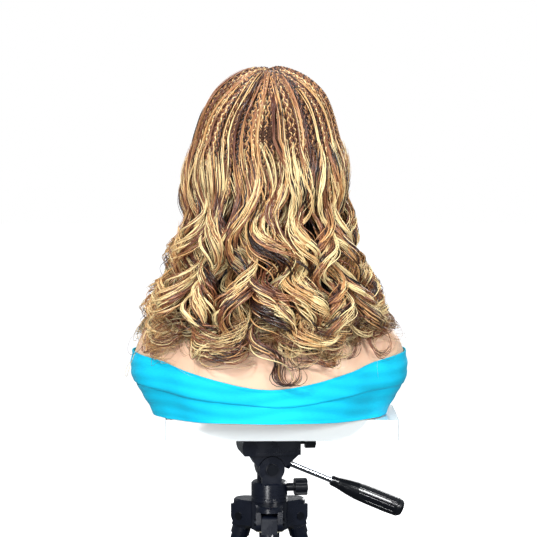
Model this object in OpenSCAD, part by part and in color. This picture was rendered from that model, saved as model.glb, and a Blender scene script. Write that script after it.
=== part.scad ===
// Mannequin training head on a short tripod with a pan and tilt head.
// Millimetres, +Z up. The origin is on the floor under the centre column, and the face looks along -Y.

/* [Legs] */
// Spread of each leg from vertical, in degrees
leg_angle = 17; // [12:1:22]
// Length of the upper leg tube
upper_len = 285; // [220:5:400]
// Outside diameter of the upper leg tube
upper_od = 20; // [18:0.5:24]
// Wall of the upper leg tube
upper_wall = 1.2; // [0.8:0.1:1.6]
// Outside diameter of the lower leg tube
lower_od = 16; // [13:0.5:16.5]
// Wall of the lower leg tube
lower_wall = 1; // [0.8:0.1:2]
// Length of lower tube that shows below the clamp when retracted
lower_show = 77; // [40:1:90]
// Diameter of the rubber foot
foot_d = 24; // [20:1:32]

/* [Hub and column] */
// Distance of the leg hinge pins from the column axis
hinge_r = 34; // [33:1:42]
// Diameter of the leg hinge pins
pin_d = 5; // [4:0.5:6]
// Outside diameter of the centre column
column_od = 25; // [20:0.5:26]
// Wall of the centre column
column_wall = 1.5; // [1:0.1:2]
// Length of the centre column tube
column_len = 250; // [200:5:280]
// Wall of the nylon bush round the column
bush_wall = 2; // [1.5:0.1:3]

/* [Pan and tilt head] */
// Turn of the pan head about the column at rest, in degrees
head_yaw = 10; // [-30:1:30]
// Diameter of the pan base and of the column's top flange
pan_d = 44; // [40:1:50]
// Height of the tilt axis above the pan base's underside
tilt_h = 32; // [30:1:36]
// Diameter of the tilt axle
axle_d = 8; // [6:0.5:9]
// Width of the tilting tongue between its cheeks
tongue_w = 20.4; // [16:0.2:24]
// Length of the tray that holds the quick-release plate
tray_len = 71; // [66:1:85]
// Width of the tray
tray_w = 50; // [46:1:60]
// Drop of the pan handle below level, in degrees
handle_drop = 23.5; // [15:0.5:30]
// Diameter of the pan handle's rod
rod_d = 7; // [5:0.5:8]
// Length of the pan handle's grip
grip_len = 96; // [80:1:120]
// Largest diameter of the pan handle's grip
grip_d = 24; // [20:1:28]

/* [Board] */
// Width of the board under the bust
board_w = 276; // [240:2:320]
// Depth of the board
board_d = 120; // [100:2:150]
// Thickness of the board
board_t = 25; // [18:1:30]
// Diameter of the peg that the bust sits on
peg_d = 28; // [22:1:32]
// Height of the peg above its flange
peg_h = 62; // [50:1:75]

/* [Mannequin] */
// Half of the width across the shoulders
shoulder_half = 160; // [150:1:175]
// Half of the width of the skull
skull_r = 75; // [70:1:80]
// Height from the bust's underside to the top of the skull
bust_h = 405; // [390:1:430]
// Wall of the vinyl skin
skin_wall = 4; // [3:0.5:5]
// Radius of the neck
neck_r = 51; // [46:1:56]
// Radius of an eyeball
eye_r = 12; // [11:0.5:13]

/* [Hair and band] */
// Thickness of the braids over the cap
braid_t = 9; // [6:1:12]
// Thickness of the stretch band
band_t = 2; // [1:0.5:4]
// Height of the stretch band at the sides
band_h = 78; // [60:1:84]
// Dip of the stretch band's top edge at the back
band_dip = 37; // [10:1:40]

/* [Hidden] */
run_gap = 0.05;      // radial clearance of a running fit
slip_gap = 0.3;      // gap between faces that pass each other
part_gap = 0.1;      // clearance between pieces assembled in one body
LEGS = ["a", "b", "c"];
leg_azimuth = [90, 210, 330];

// Leg, measured down from its hinge pin
pin_drop = 26;                              // hinge pin to the top of the upper tube
plug_len = 20;                              // part of the knuckle inside the tube
clamp_grip = 20;                            // clamp's overlap with the upper tube
clamp_tail = 14;                            // clamp's grip on the lower tube
clamp_wall = 3.4;
tube_end = pin_drop + upper_len;            // lower end of the upper tube
clamp_end = tube_end + clamp_tail;
foot_cover = 20;                            // how far the foot goes up the lower tube
foot_pad = 12;                              // rubber below the tube's end
lower_end = clamp_end + lower_show;
lower_top = pin_drop + plug_len + 0.5;       // the lower tube stops against the plug
leg_len = lower_end + foot_pad;
hinge_z = leg_len * cos(leg_angle);
knuckle_r = 9.5;
knuckle_w = 19.4;
lug_gap = knuckle_w + 2 * slip_gap;
lug_t = 6;
lug_half = lug_gap / 2 + lug_t;

// Hub and column
hub_r = 23;
hub_top = hinge_z + 20;
hub_low = hinge_z - 14;
hub_roof = 7;
bush_od = column_od + 2 * run_gap + 2 * bush_wall;
bush_flange_t = 3;
column_top = hub_top + slip_gap;
flange_t = 8.2;
stud_d = 9.5;
stud_h = 9;
knob_screw_d = 6;
column_knob_z = hinge_z + 2;

// Pan and tilt head, in a frame turned by head_yaw with the handle towards -X
pan_z = column_top + flange_t + slip_gap;
pan_h = 15;
tilt_z = pan_z + tilt_h;
cheek_t = 8;
cheek_r = 15.5;
cheek_neck = 12;
washer_t = 0.7;
cheek_in = tongue_w / 2 + washer_t + 2 * part_gap;
cheek_out = cheek_in + cheek_t;
tongue_r = cheek_r + 1;
groove_r = tongue_r + 0.5;
pan_screw_z = pan_z + 6.5;
tray_under = tilt_z + 18;
tray_t = 20;
tray_top = tray_under + tray_t;
tray_x0 = -tray_len * 0.48;
tray_x1 = tray_len + tray_x0;
pocket_deep = 6;
plate_l = 54;
plate_w = 40;
plate_t = 8;
pad_t = 2;
plate_top = tray_top - pocket_deep + plate_t;
board_z = plate_top + pad_t;
camera_d = 6.35;
clamp_knob_z = tray_top - 4 - pocket_deep / 2;
boss_r = 7;
handle_x = -24.5;                           // where the handle's axis is handle_z high
handle_z = tilt_z + 4;
rod_in = 12;                                // rod inside the boss
rod_out = 57;                               // rod between the boss and the grip
grip_in = 30;                               // rod inside the grip

// Board and bust
board_top = board_z + board_t;
board_x = -15;                              // the board sits a little off the column
peg_flange_r = 30;
peg_flange_t = 5;
bust_z = board_top + slip_gap;
socket_wall = 2.6;
plate_up = peg_flange_t + 2;                // base plate above the bust's underside
base_plate_t = 3;
torso_y = 10;                               // middle of the torso, behind the column
torso_half_d = 90;
shoulder_r = 50;
shoulder_z = bust_z + 64;
neck_y = 14;
skull_z = bust_z + bust_h - skull_r;        // centre of the skull
neck_z = skull_z - 188;
skull_y0 = -16;
skull_y1 = 20;
chin_z = skull_z - 138;
eye_z = skull_z - 36;
eye_x = 31;
eye_y = -69;
cap_t = 1.2;
lash_out = 5;                               // how far the lashes stand out from the eyeball
lash_tilt = 28;
hairline_y = -16;
hairline_up = 31;                           // hairline over the forehead, above the skull's centre
hairline_tilt = 5;
hair_split_y = 6;                           // the back hair and the side hair part here
hair_lift = 1;                              // the hair clears the skin and the band by this much

$fn = 64;
big = 2000;

// ---------- shared shapes ----------

// A cylinder along Y, centred on the origin
module along_y(r, w) {
    rotate([90, 0, 0]) cylinder(r = r, h = w, center = true);
}

// A cylinder along X from x0 to x1
module along_x(r, x0, x1) {
    translate([x0, 0, 0]) rotate([0, 90, 0]) cylinder(r = r, h = x1 - x0);
}

// A lobed knob head along X, with its flutes cut round the rim
module knob_head(r, x0, x1, lobes) {
    flute_r = r * 0.28;
    difference() {
        along_x(r, x0, x1);
        for (i = [0 : lobes - 1])
            rotate([i * 360 / lobes, 0, 0])
                translate([0, 0, r + flute_r * 0.45]) along_x(flute_r, x0 - 1, x1 + 1);
    }
}

// ---------- legs ----------

// Places a leg's own frame: its axis runs down -Z from the hinge pin, and +X faces outwards
module leg_frame(i) {
    rotate([0, 0, leg_azimuth[i]])
        translate([hinge_r, 0, hinge_z])
            rotate([0, -leg_angle, 0]) children();
}

module knuckle() {
    collar_r = upper_od / 2 + 1.5;
    block_h = 16;
    difference() {
        union() {
            along_y(knuckle_r, knuckle_w);
            translate([-knuckle_r, -knuckle_w / 2, -block_h]) cube([2 * knuckle_r, knuckle_w, block_h]);
            translate([0, 0, -pin_drop]) cylinder(r = collar_r, h = pin_drop - block_h);
            translate([0, 0, -pin_drop - plug_len])
                cylinder(d = upper_od - 2 * upper_wall - 2 * part_gap, h = plug_len);
        }
        along_y(pin_d / 2 + run_gap, knuckle_w + 2);
    }
}

module upper_tube() {
    translate([0, 0, -tube_end]) difference() {
        cylinder(d = upper_od, h = upper_len);
        translate([0, 0, -1]) cylinder(d = upper_od - 2 * upper_wall, h = upper_len + 2);
    }
}

clamp_r = upper_od / 2 + clamp_wall;
lever_pin_x = clamp_r + 3.2;
lever_pin_z = -(tube_end + clamp_tail / 2);
lever_pin_d = 3;
lever_w = 11;
ear_t = 3;

module leg_clamp() {
    difference() {
        union() {
            translate([0, 0, -clamp_end]) cylinder(r = clamp_r, h = clamp_grip + clamp_tail);
            translate([0, 0, -tube_end + clamp_grip - 4]) cylinder(r = clamp_r + 0.8, h = 4);
            for (s = [-1, 1]) translate([0, s * (lever_w / 2 + slip_gap + ear_t / 2), lever_pin_z]) {
                translate([lever_pin_x, 0, 0]) along_y(4, ear_t);
                translate([clamp_r - 4, -ear_t / 2, -4]) cube([lever_pin_x - clamp_r + 4, ear_t, 8]);
            }
        }
        translate([0, 0, -tube_end]) cylinder(d = upper_od + 2 * part_gap, h = clamp_grip + 1);
        translate([0, 0, -clamp_end - 1]) cylinder(d = lower_od + 2 * run_gap, h = clamp_tail + 2);
        translate([lower_od / 2 - 1, -1, -clamp_end - 1]) cube([clamp_wall + 6, 2, clamp_tail - 1]);
        translate([lever_pin_x, 0, lever_pin_z]) along_y(lever_pin_d / 2 + run_gap, 40);
    }
}

module clamp_lever() {
    lever_h = clamp_grip + clamp_tail / 2 + 6;
    arm_x = clamp_r + 1.2;
    translate([lever_pin_x, 0, lever_pin_z]) {
        along_y(lever_pin_d / 2, lever_w + 2 * (slip_gap + ear_t));
        along_y(3, lever_w);
    }
    translate([arm_x, -lever_w / 2, lever_pin_z]) cube([4.4, lever_w, lever_h]);
    translate([arm_x + 2.2, 0, lever_pin_z + lever_h]) along_y(2.2, lever_w);
}

module lower_tube() {
    translate([0, 0, -lower_end]) difference() {
        cylinder(d = lower_od, h = lower_end - lower_top);
        translate([0, 0, -1]) cylinder(d = lower_od - 2 * lower_wall, h = lower_end - lower_top + 2);
    }
}

// The rubber foot's sole is cut level with the floor at the leg's spread
module foot(i) {
    top_z = -lower_end + foot_cover;
    neck_h = 8;
    intersection() {
        leg_frame(i) difference() {
            union() {
                translate([0, 0, top_z - neck_h]) cylinder(d1 = foot_d, d2 = lower_od + 3, h = neck_h);
                translate([0, 0, -leg_len - foot_d / 2]) cylinder(d = foot_d, h = leg_len + foot_d / 2 + top_z - neck_h);
            }
            translate([0, 0, -lower_end]) cylinder(d = lower_od + 2 * part_gap, h = foot_cover + 1);
        }
        translate([-big / 2, -big / 2, 0]) cube(big);
    }
}

// ---------- hub and column ----------

module hub() {
    lug_r = hinge_r - 2;
    difference() {
        union() {
            translate([0, 0, hub_low]) cylinder(r = hub_r, h = hub_top - hub_low);
            for (a = leg_azimuth) rotate([0, 0, a]) {
                translate([0, -lug_half, hub_top - hub_roof]) cube([lug_r, 2 * lug_half, hub_roof]);
                translate([lug_r, 0, hub_top - hub_roof]) cylinder(r = lug_half, h = hub_roof);
                for (s = [-1, 1]) translate([0, s * (lug_half - lug_t / 2), 0]) {
                    translate([hub_r - 8, -lug_t / 2, hinge_z - 11])
                        cube([hinge_r - hub_r + 8, lug_t, hub_top - hinge_z + 5]);
                    translate([hinge_r, 0, hinge_z]) along_y(11, lug_t);
                    translate([hinge_r, -lug_t / 2, hinge_z]) cube([11, lug_t, hub_top - hub_roof - hinge_z + 1]);
                }
            }
        }
        translate([0, 0, hub_low - 1]) cylinder(d = bush_od + 2 * part_gap, h = hub_top - hub_low + 2);
        // Room for each knuckle between its lugs, and the holes for the hinge pins
        for (a = leg_azimuth) rotate([0, 0, a]) {
            translate([hub_r, -lug_gap / 2, hub_low - 1])
                cube([big / 4, lug_gap, hub_top - hub_roof - hub_low + 1]);
            translate([hinge_r, 0, hinge_z]) along_y(pin_d / 2, 4 * lug_half);
        }
        translate([0, 0, column_knob_z]) rotate([0, 0, 270]) along_x(knob_screw_d / 2 + run_gap, 5, hub_r + 5);
        // A rounded rim for the roof's edge at each lug
        for (a = leg_azimuth) rotate([0, 0, a]) translate([lug_r, 0, hub_top - 2]) difference() {
            translate([0, -lug_half - 1, 0]) cube([lug_half + 2, 2 * lug_half + 2, 3]);
            translate([0, 0, -1]) cylinder(r1 = lug_half + 1, r2 = lug_half - 3, h = 4);
            translate([-1, -lug_half + 1.9, -1]) cube([1, 2 * lug_half - 3.8, 5]);
        }
    }
}

module column_bush() {
    difference() {
        union() {
            translate([0, 0, hub_low]) cylinder(d = bush_od, h = hub_top - hub_low);
            translate([0, 0, hub_low - bush_flange_t]) cylinder(d = bush_od + 8, h = bush_flange_t);
        }
        translate([0, 0, hub_low - bush_flange_t - 1]) cylinder(d = column_od + 2 * run_gap, h = hub_top);
        translate([0, 0, column_knob_z]) rotate([0, 0, 270]) along_x(knob_screw_d / 2 + run_gap, 5, hub_r + 5);
    }
}

module hinge_pins() {
    for (a = leg_azimuth) rotate([0, 0, a]) translate([hinge_r, 0, hinge_z]) {
        along_y(pin_d / 2, 2 * lug_half);
        for (s = [-1, 1]) translate([0, s * (lug_half + 1), 0]) along_y(pin_d / 2 + 2, 2);
    }
}

module column_lock_knob() {
    tip_r = column_od / 2 + 0.2;
    translate([0, 0, column_knob_z]) rotate([0, 0, 270]) {
        along_x(knob_screw_d / 2, tip_r, hub_r + 4);
        along_x(5, hub_r + slip_gap, hub_r + 6);
        knob_head(11, hub_r + 6, hub_r + 17, 6);
    }
}

module column_tube() {
    translate([0, 0, column_top - column_len]) difference() {
        cylinder(d = column_od, h = column_len);
        translate([0, 0, -1]) cylinder(d = column_od - 2 * column_wall, h = column_len + 2);
    }
}

module column_head() {
    plug_d = column_od - 2 * column_wall - 2 * part_gap;
    translate([0, 0, column_top - 24]) cylinder(d = plug_d, h = 24);
    difference() {
        translate([0, 0, column_top]) cylinder(d = pan_d, h = flange_t);
        translate([0, 0, column_top + flange_t / 2]) rotate_extrude()
            translate([pan_d / 2, 0]) circle(r = 0.9);
    }
    translate([0, 0, column_top + flange_t]) cylinder(d = stud_d, h = stud_h + slip_gap);
}

module column_cap() {
    cap_h = 4;
    low = column_top - column_len;
    translate([0, 0, low]) cylinder(d = column_od - 2 * column_wall - 2 * part_gap, h = 12);
    translate([0, 0, low - cap_h]) cylinder(d1 = column_od - 4, d2 = column_od, h = cap_h);
}

// ---------- pan and tilt head ----------

module yawed() {
    rotate([0, 0, head_yaw]) children();
}

module pan_base() {
    yawed() difference() {
        union() {
            translate([0, 0, pan_z]) cylinder(d = pan_d, h = pan_h - 2);
            translate([0, 0, pan_z + pan_h - 2]) cylinder(d1 = pan_d, d2 = pan_d - 4, h = 2);
            for (s = [-1, 1]) translate([0, s * (cheek_in + cheek_t / 2), tilt_z]) {
                along_y(cheek_r, cheek_t);
                translate([-cheek_neck, -cheek_t / 2, -tilt_h + pan_h - 3])
                    cube([2 * cheek_neck, cheek_t, tilt_h - pan_h + 3]);
            }
        }
        translate([0, 0, pan_z - 1]) cylinder(d = stud_d + 2 * run_gap, h = stud_h + 1.5);
        translate([0, 0, tilt_z]) along_y(groove_r, 2 * cheek_in);
        translate([0, 0, tilt_z]) along_y(axle_d / 2 + part_gap, 4 * cheek_out);
        translate([0, 0, pan_screw_z]) rotate([0, 0, 180])
            along_x(knob_screw_d / 2 + run_gap, stud_d / 2, pan_d);
        // The seat that the pan lock knob's collar enters
        translate([0, 0, pan_screw_z]) rotate([0, 0, 180]) along_x(5 + slip_gap, pan_d / 2 - 1.5, pan_d);
    }
}

module pan_lock_knob() {
    yawed() translate([0, 0, pan_screw_z]) rotate([0, 0, 180]) {
        along_x(knob_screw_d / 2, stud_d / 2 + 0.6, pan_d / 2 + 2);
        along_x(5, pan_d / 2 - 1, pan_d / 2 + 9);
        knob_head(10.5, pan_d / 2 + 9, pan_d / 2 + 24, 6);
    }
}

module tilt_axle() {
    yawed() translate([0, 0, tilt_z]) {
        along_y(axle_d / 2, 2 * cheek_out + 2);
        translate([0, cheek_out + 2, 0]) along_y(7, 4 - 2 * part_gap);
        translate([0, -cheek_out - 2.5, 0]) rotate([90, 0, 0]) cylinder(r = 7, h = 5 - 2 * part_gap, center = true, $fn = 6);
    }
}

module tilt_washers() {
    yawed() for (s = [-1, 1]) translate([0, s * (tongue_w / 2 + part_gap + washer_t / 2), tilt_z]) difference() {
        along_y(12, washer_t);
        along_y(axle_d / 2 + part_gap, 2);
    }
}

// The handle's own frame: its axis runs along +X, down and away from the tilt platform
module handle_frame() {
    yawed() translate([handle_x, 0, handle_z]) rotate([0, handle_drop, 180]) children();
}

module tilt_platform() {
    wedge_half = cheek_out - 0.5;
    difference() {
        union() {
            yawed() {
                // Tray, with its far end rounded as a cylinder along Y
                translate([tray_x0, -tray_w / 2, tray_under]) cube([tray_len - 8, tray_w, tray_t]);
                translate([tray_x1 - tray_t, 0, tray_top - tray_t / 2]) difference() {
                    along_y(tray_t, tray_w);
                    translate([-big / 2, -big / 2, tray_t / 2]) cube(big);
                    translate([-big - 2, -big / 2, -big / 2]) cube(big);
                    translate([-big / 2, -big / 2, -big - tray_t / 2]) cube(big);
                }
                // Wedge between the tray and the tongue
                translate([0, wedge_half, 0]) rotate([90, 0, 0]) linear_extrude(2 * wedge_half) polygon([
                    [tray_x0 + 1, tray_under + 1], [tray_x0 + 1, tray_under - 1],
                    [-17, tilt_z + 3], [0, tilt_z + 1], [18, tilt_z + 4],
                    [24, tray_under - 4], [tray_x1 - 8, tray_under], [tray_x1 - 8, tray_under + 1]
                ]);
            }
            yawed() translate([0, 0, tilt_z]) along_y(tongue_r, tongue_w);
            handle_frame() along_x(boss_r, -14, 2);
        }
        yawed() {
            for (s = [-1, 1]) translate([0, s * (tongue_w / 2 + 10), tilt_z]) along_y(cheek_r + 0.8, 20);
            translate([0, 0, tilt_z]) along_y(axle_d / 2 + run_gap, tray_w);
            // Pocket for the quick-release plate, open below for the screw's head
            translate([-plate_l / 2 - slip_gap, -plate_w / 2 - slip_gap, tray_top - pocket_deep])
                cube([plate_l + 2 * slip_gap, plate_w + 2 * slip_gap, pocket_deep + 1]);
            translate([0, 0, tray_top - pocket_deep - 4.5]) cylinder(r = 10, h = 6);
            translate([0, 0, clamp_knob_z]) rotate([0, 0, 180])
                along_x(knob_screw_d / 2 + run_gap, plate_l / 2 - 1, tray_len);
            // Two relief grooves along the tray's back and front faces
            for (s = [-1, 1]) translate([tray_x0 + 4, s * tray_w / 2 - 0.8, tray_under + 3.4])
                cube([tray_len - 22, 1.6, 1.2]);
        }
        handle_frame() along_x(rod_d / 2 + run_gap, -rod_in, 40);
    }
}

module clamp_knob() {
    yawed() translate([0, 0, clamp_knob_z]) rotate([0, 0, 180]) {
        along_x(knob_screw_d / 2, plate_l / 2 + slip_gap + 0.2, -tray_x0 + 2);
        along_x(4.3, -tray_x0 + slip_gap, -tray_x0 + 10);
        knob_head(9.3, -tray_x0 + 10, -tray_x0 + 22, 8);
    }
}

module handle_rod() {
    handle_frame() along_x(rod_d / 2, -rod_in + 0.5, rod_out + grip_in);
}

module handle_grip() {
    grip_r = grip_d / 2;
    flutes = 12;
    handle_frame() translate([rod_out, 0, 0]) difference() {
        rotate([0, 90, 0]) rotate_extrude() polygon([
            [0, 0], [5.6, 0], [6.4, 1.5], [6.8, 8], [9.4, 22], [grip_r - 1, 34], [grip_r - 0.4, 46],
            [grip_r, grip_len - 18], [grip_r - 0.3, grip_len - 9], [grip_r - 1.1, grip_len - 8],
            [grip_r - 0.4, grip_len - 7], [grip_r - 0.6, grip_len - 4], [grip_r - 3, grip_len], [0, grip_len]
        ]);
        along_x(rod_d / 2 + part_gap, -1, grip_in + 0.5);
        for (i = [0 : flutes - 1]) rotate([i * 360 / flutes, 0, 0])
            translate([0, 0, grip_r + 0.5]) along_x(1.5, 26, grip_len - 12);
    }
}

module qr_plate() {
    yawed() difference() {
        translate([-plate_l / 2, -plate_w / 2, plate_top - plate_t]) cube([plate_l, plate_w, plate_t]);
        translate([0, 0, plate_top - plate_t - 1]) cylinder(d = camera_d + 2 * part_gap, h = plate_t + 2);
        translate([0, 0, plate_top - plate_t - 1]) cylinder(r = 9, h = 4);
    }
}

module qr_pad() {
    yawed() difference() {
        translate([-plate_l / 2, -plate_w / 2, plate_top]) cube([plate_l, plate_w, pad_t]);
        translate([0, 0, plate_top - 1]) cylinder(d = camera_d + 2 * part_gap, h = pad_t + 2);
    }
}

module mount_screw() {
    head_z = plate_top - plate_t + 0.2;
    difference() {
        union() {
            translate([0, 0, head_z]) cylinder(r = 8, h = 2.6);
            translate([0, 0, head_z]) cylinder(d = camera_d, h = board_z + 12 - head_z);
        }
        translate([-10, -0.8, head_z - 1]) cube([20, 1.6, 2]);
    }
}

// ---------- board and peg ----------

peg_screw_pcd = 44;
peg_screw_angles = [30, 150, 270];

module bust_board() {
    edge_r = 3;
    difference() {
        translate([board_x, 0, board_z]) linear_extrude(board_t) union() {
            square([board_w - 2 * edge_r, board_d], center = true);
            square([board_w, board_d - 2 * edge_r], center = true);
            for (x = [-1, 1], y = [-1, 1])
                translate([x * (board_w / 2 - edge_r), y * (board_d / 2 - edge_r)]) circle(r = edge_r);
        }
        translate([0, 0, board_z - 1]) cylinder(d = 8.4, h = board_t + 2);
        translate([0, 0, board_top - 1.6]) cylinder(r = 9.7, h = 3);
        for (a = peg_screw_angles) rotate([0, 0, a]) translate([peg_screw_pcd / 2, 0, board_top - 15])
            cylinder(d = 4 + 2 * part_gap, h = 17);
    }
}

module tee_nut() {
    difference() {
        union() {
            translate([0, 0, board_top - 1.5]) cylinder(r = 9.5, h = 1.4);
            translate([0, 0, board_z + 2]) cylinder(d = 8.2, h = board_t - 3);
        }
        translate([0, 0, board_z]) cylinder(d = camera_d + 2 * part_gap, h = board_t + 2);
    }
}

module head_peg() {
    difference() {
        union() {
            translate([0, 0, board_top]) cylinder(r = peg_flange_r, h = peg_flange_t);
            translate([0, 0, board_top]) cylinder(d = peg_d, h = peg_flange_t + peg_h - 6);
            translate([0, 0, board_top + peg_flange_t + peg_h - 6]) cylinder(d1 = peg_d, d2 = peg_d - 8, h = 6);
        }
        for (a = peg_screw_angles) rotate([0, 0, a]) translate([peg_screw_pcd / 2, 0, board_top - 1]) {
            cylinder(d = 4 + 2 * part_gap, h = 10);
            translate([0, 0, peg_flange_t - 1.6]) cylinder(d = 8.4, h = 4);
        }
    }
}

module peg_screws() {
    head_t = 2.2;
    for (a = peg_screw_angles) rotate([0, 0, a]) translate([peg_screw_pcd / 2, 0, 0]) difference() {
        union() {
            translate([0, 0, board_top - 14]) cylinder(d = 4, h = 14 + peg_flange_t - head_t);
            translate([0, 0, board_top + peg_flange_t - head_t - 0.4]) cylinder(d = 8, h = head_t);
        }
        translate([0, 0, board_top + peg_flange_t - 1.6]) for (r = [0, 90]) rotate([0, 0, r])
            translate([-2, -0.5, 0]) cube([4, 1, 3]);
    }
}

// ---------- mannequin ----------

form_fn = 28;

// The skull: a capsule along Y
module skull(g) {
    r = skull_r + g;
    for (y = [skull_y0, skull_y1]) translate([0, y, skull_z]) sphere(r = r);
    translate([0, (skull_y0 + skull_y1) / 2, skull_z]) along_y(r, skull_y1 - skull_y0);
}

module face(g) {
    hull() {
        translate([0, -24, skull_z - 36]) sphere(r = 62 + g, $fn = form_fn);
        translate([0, -60, chin_z + 24]) sphere(r = 24 + g, $fn = form_fn);
        for (s = [-1, 1]) translate([s * 36, -16, chin_z + 42]) sphere(r = 24 + g, $fn = form_fn);
    }
}

module torso(g) {
    bottom = bust_z + (g < 0 ? -1 : 0);
    hull() {
        for (s = [-1, 1]) translate([s * (shoulder_half - shoulder_r), 8, shoulder_z])
            sphere(r = shoulder_r + g, $fn = form_fn);
        translate([0, torso_y, shoulder_z]) scale([(shoulder_half - 30) / 80, 1.04, 0.72])
            sphere(r = 84 + g, $fn = form_fn);
        translate([0, torso_y, bottom]) scale([(shoulder_half - 20 + g) / 100, (torso_half_d + g) / 100, 1])
            cylinder(r = 100, h = 3, $fn = 48);
    }
}

module trapezius(g) {
    hull() {
        for (s = [-1, 1]) translate([s * 64, 14, bust_z + 82]) sphere(r = 42 + g, $fn = form_fn);
        translate([0, neck_y, neck_z - 8]) cylinder(r1 = neck_r + 6 + g, r2 = neck_r + g, h = 20, $fn = 32);
    }
}

module neck(g) {
    translate([0, neck_y, bust_z + 60]) cylinder(r = neck_r + g, h = skull_z - bust_z - 60);
}

module ears(g) {
    for (s = [-1, 1]) translate([s * (skull_r - 3), 4, eye_z - 16]) scale([0.28 + g / 30, 0.55 + g / 30, 1 + g / 30])
        sphere(r = 30, $fn = 24);
}

module bust_form(g) {
    skull(g);
    face(g);
    torso(g);
    trapezius(g);
    neck(g);
}

module vinyl_skin() {
    difference() {
        union() {
            bust_form(0);
            // Nose
            hull() {
                translate([0, -84, eye_z - 34]) sphere(r = 11, $fn = 24);
                translate([0, -98, eye_z - 34]) sphere(r = 7, $fn = 24);
                translate([0, -80, eye_z - 2]) sphere(r = 7, $fn = 24);
            }
            ears(0);
        }
        bust_form(-skin_wall);
        for (s = [-1, 1]) translate([s * eye_x, eye_y, eye_z]) sphere(r = eye_r + part_gap, $fn = 32);
        translate([-big / 2, -big / 2, bust_z - big]) cube(big);
    }
}

// The rigid foam that fills the skull and the neck, over the socket
module head_core() {
    core_r = skull_r - skin_wall - slip_gap;
    difference() {
        union() {
            translate([0, skull_y0 + 14, skull_z]) sphere(r = core_r - 3);
            translate([0, skull_y1, skull_z]) sphere(r = core_r - 1);
            translate([0, neck_y, bust_z + 62]) cylinder(r = neck_r - skin_wall - 1, h = skull_z - bust_z - 62);
        }
        translate([0, 0, bust_z]) cylinder(d = peg_d + 2 * socket_wall + 1.4, h = peg_h + 24);
        for (s = [-1, 1]) translate([s * eye_x, eye_y, eye_z]) sphere(r = eye_r + 1);
    }
}

// Closing plate inside the bust's rim, with the hole that the socket is fixed in
module base_plate() {
    shrink = skin_wall + 4;
    difference() {
        translate([0, torso_y, bust_z + plate_up])
            scale([(shoulder_half - 20 - shrink) / 100, (torso_half_d - shrink) / 100, 1])
                cylinder(r = 100, h = base_plate_t, $fn = 64);
        translate([0, 0, bust_z]) cylinder(d = peg_d + 2 * socket_wall + 2 * slip_gap, h = 30);
    }
}

module socket_tube() {
    bore_d = peg_d + 2 * slip_gap;
    difference() {
        union() {
            translate([0, 0, bust_z + plate_up - 1]) cylinder(d = peg_d + 2 * socket_wall + 0.4, h = peg_h + 6);
            translate([0, 0, bust_z + plate_up + base_plate_t]) cylinder(r = peg_flange_r - 4, h = 3);
        }
        translate([0, 0, bust_z]) cylinder(d = bore_d, h = plate_up + peg_h + 2);
    }
}

module eyes() {
    for (s = [-1, 1]) translate([s * eye_x, eye_y, eye_z]) sphere(r = eye_r);
}

// A lash strip along each upper lid
module eyelashes() {
    difference() {
        for (s = [-1, 1]) translate([s * eye_x, eye_y, eye_z]) difference() {
            rotate([-lash_tilt, 0, 0]) cylinder(r = eye_r + lash_out, h = 0.8);
            sphere(r = eye_r + part_gap);
            translate([-big / 2, -eye_r * 0.8, -big / 2]) cube(big);
        }
        face(slip_gap);
        skull(slip_gap);
    }
}

// Keeps what is behind and above the hairline
module behind_hairline(low) {
    intersection() {
        children();
        union() {
            translate([-big / 2, hairline_y, low]) cube(big);
            translate([0, hairline_y, skull_z + hairline_up]) rotate([-hairline_tilt, 0, 0])
                translate([-big / 2, -big / 2, 0]) cube(big);
        }
    }
}

module wig_cap() {
    behind_hairline(skull_z - 12) difference() {
        skull(cap_t + slip_gap);
        skull(slip_gap);
    }
}

module hair_braids() {
    behind_hairline(skull_z - 10) difference() {
        skull(cap_t + slip_gap + braid_t);
        skull(cap_t + 2 * slip_gap);
    }
}

// A lock mass that hangs from the braids, cut to lie on the neck and the shoulders
module hair_mass() {
    difference() {
        children();
        torso(band_t + hair_lift);
        trapezius(hair_lift);
        neck(hair_lift);
        face(hair_lift);
        ears(hair_lift);
        skull(cap_t + 3 * slip_gap + braid_t);
        translate([-big / 2, -big / 2, skull_z - 11 - part_gap]) cube(big);
    }
}

module hair_back() {
    hair_mass() intersection() {
        union() {
            hull() {
                for (s = [-1, 1]) {
                    translate([s * 52, 58, skull_z - 20]) sphere(r = 48, $fn = form_fn);
                    translate([s * 100, 78, bust_z + 112]) sphere(r = 44, $fn = form_fn);
                }
                translate([0, 92, bust_z + 94]) sphere(r = 38, $fn = form_fn);
            }
            hull() {
                for (s = [-1, 1]) translate([s * 82, 84, bust_z + 98]) sphere(r = 40, $fn = form_fn);
                translate([0, 92, bust_z + 90]) sphere(r = 34, $fn = form_fn);
            }
        }
        translate([-big / 2, hair_split_y, 0]) cube(big);
    }
}

module hair_side(s) {
    hair_mass() intersection() {
        hull() {
            translate([s * 70, -4, skull_z - 20]) sphere(r = 30, $fn = form_fn);
            translate([s * 96, -26, bust_z + 132]) sphere(r = 34, $fn = form_fn);
            translate([s * 104, -52, bust_z + 92]) sphere(r = 34, $fn = form_fn);
        }
        translate([-big / 2, hair_split_y - slip_gap - big, 0]) cube(big);
    }
}

module hair_left() {
    hair_side(1);
}

module hair_right() {
    hair_side(-1);
}

// The stretch band: a sleeve round the torso whose top edge dips at the back
module stretch_band() {
    difference() {
        intersection() {
            torso(band_t + 0.6);
            translate([-big / 2, -big / 2, bust_z + 0.8]) cube([big, big, band_h]);
        }
        torso(0.5);
        translate([0, 0, bust_z + band_h]) rotate([-atan(band_dip / torso_half_d), 0, 0])
            translate([-big / 2, 0, 0]) cube([big, big, big]);
    }
}

// ---------- assembly ----------

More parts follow.
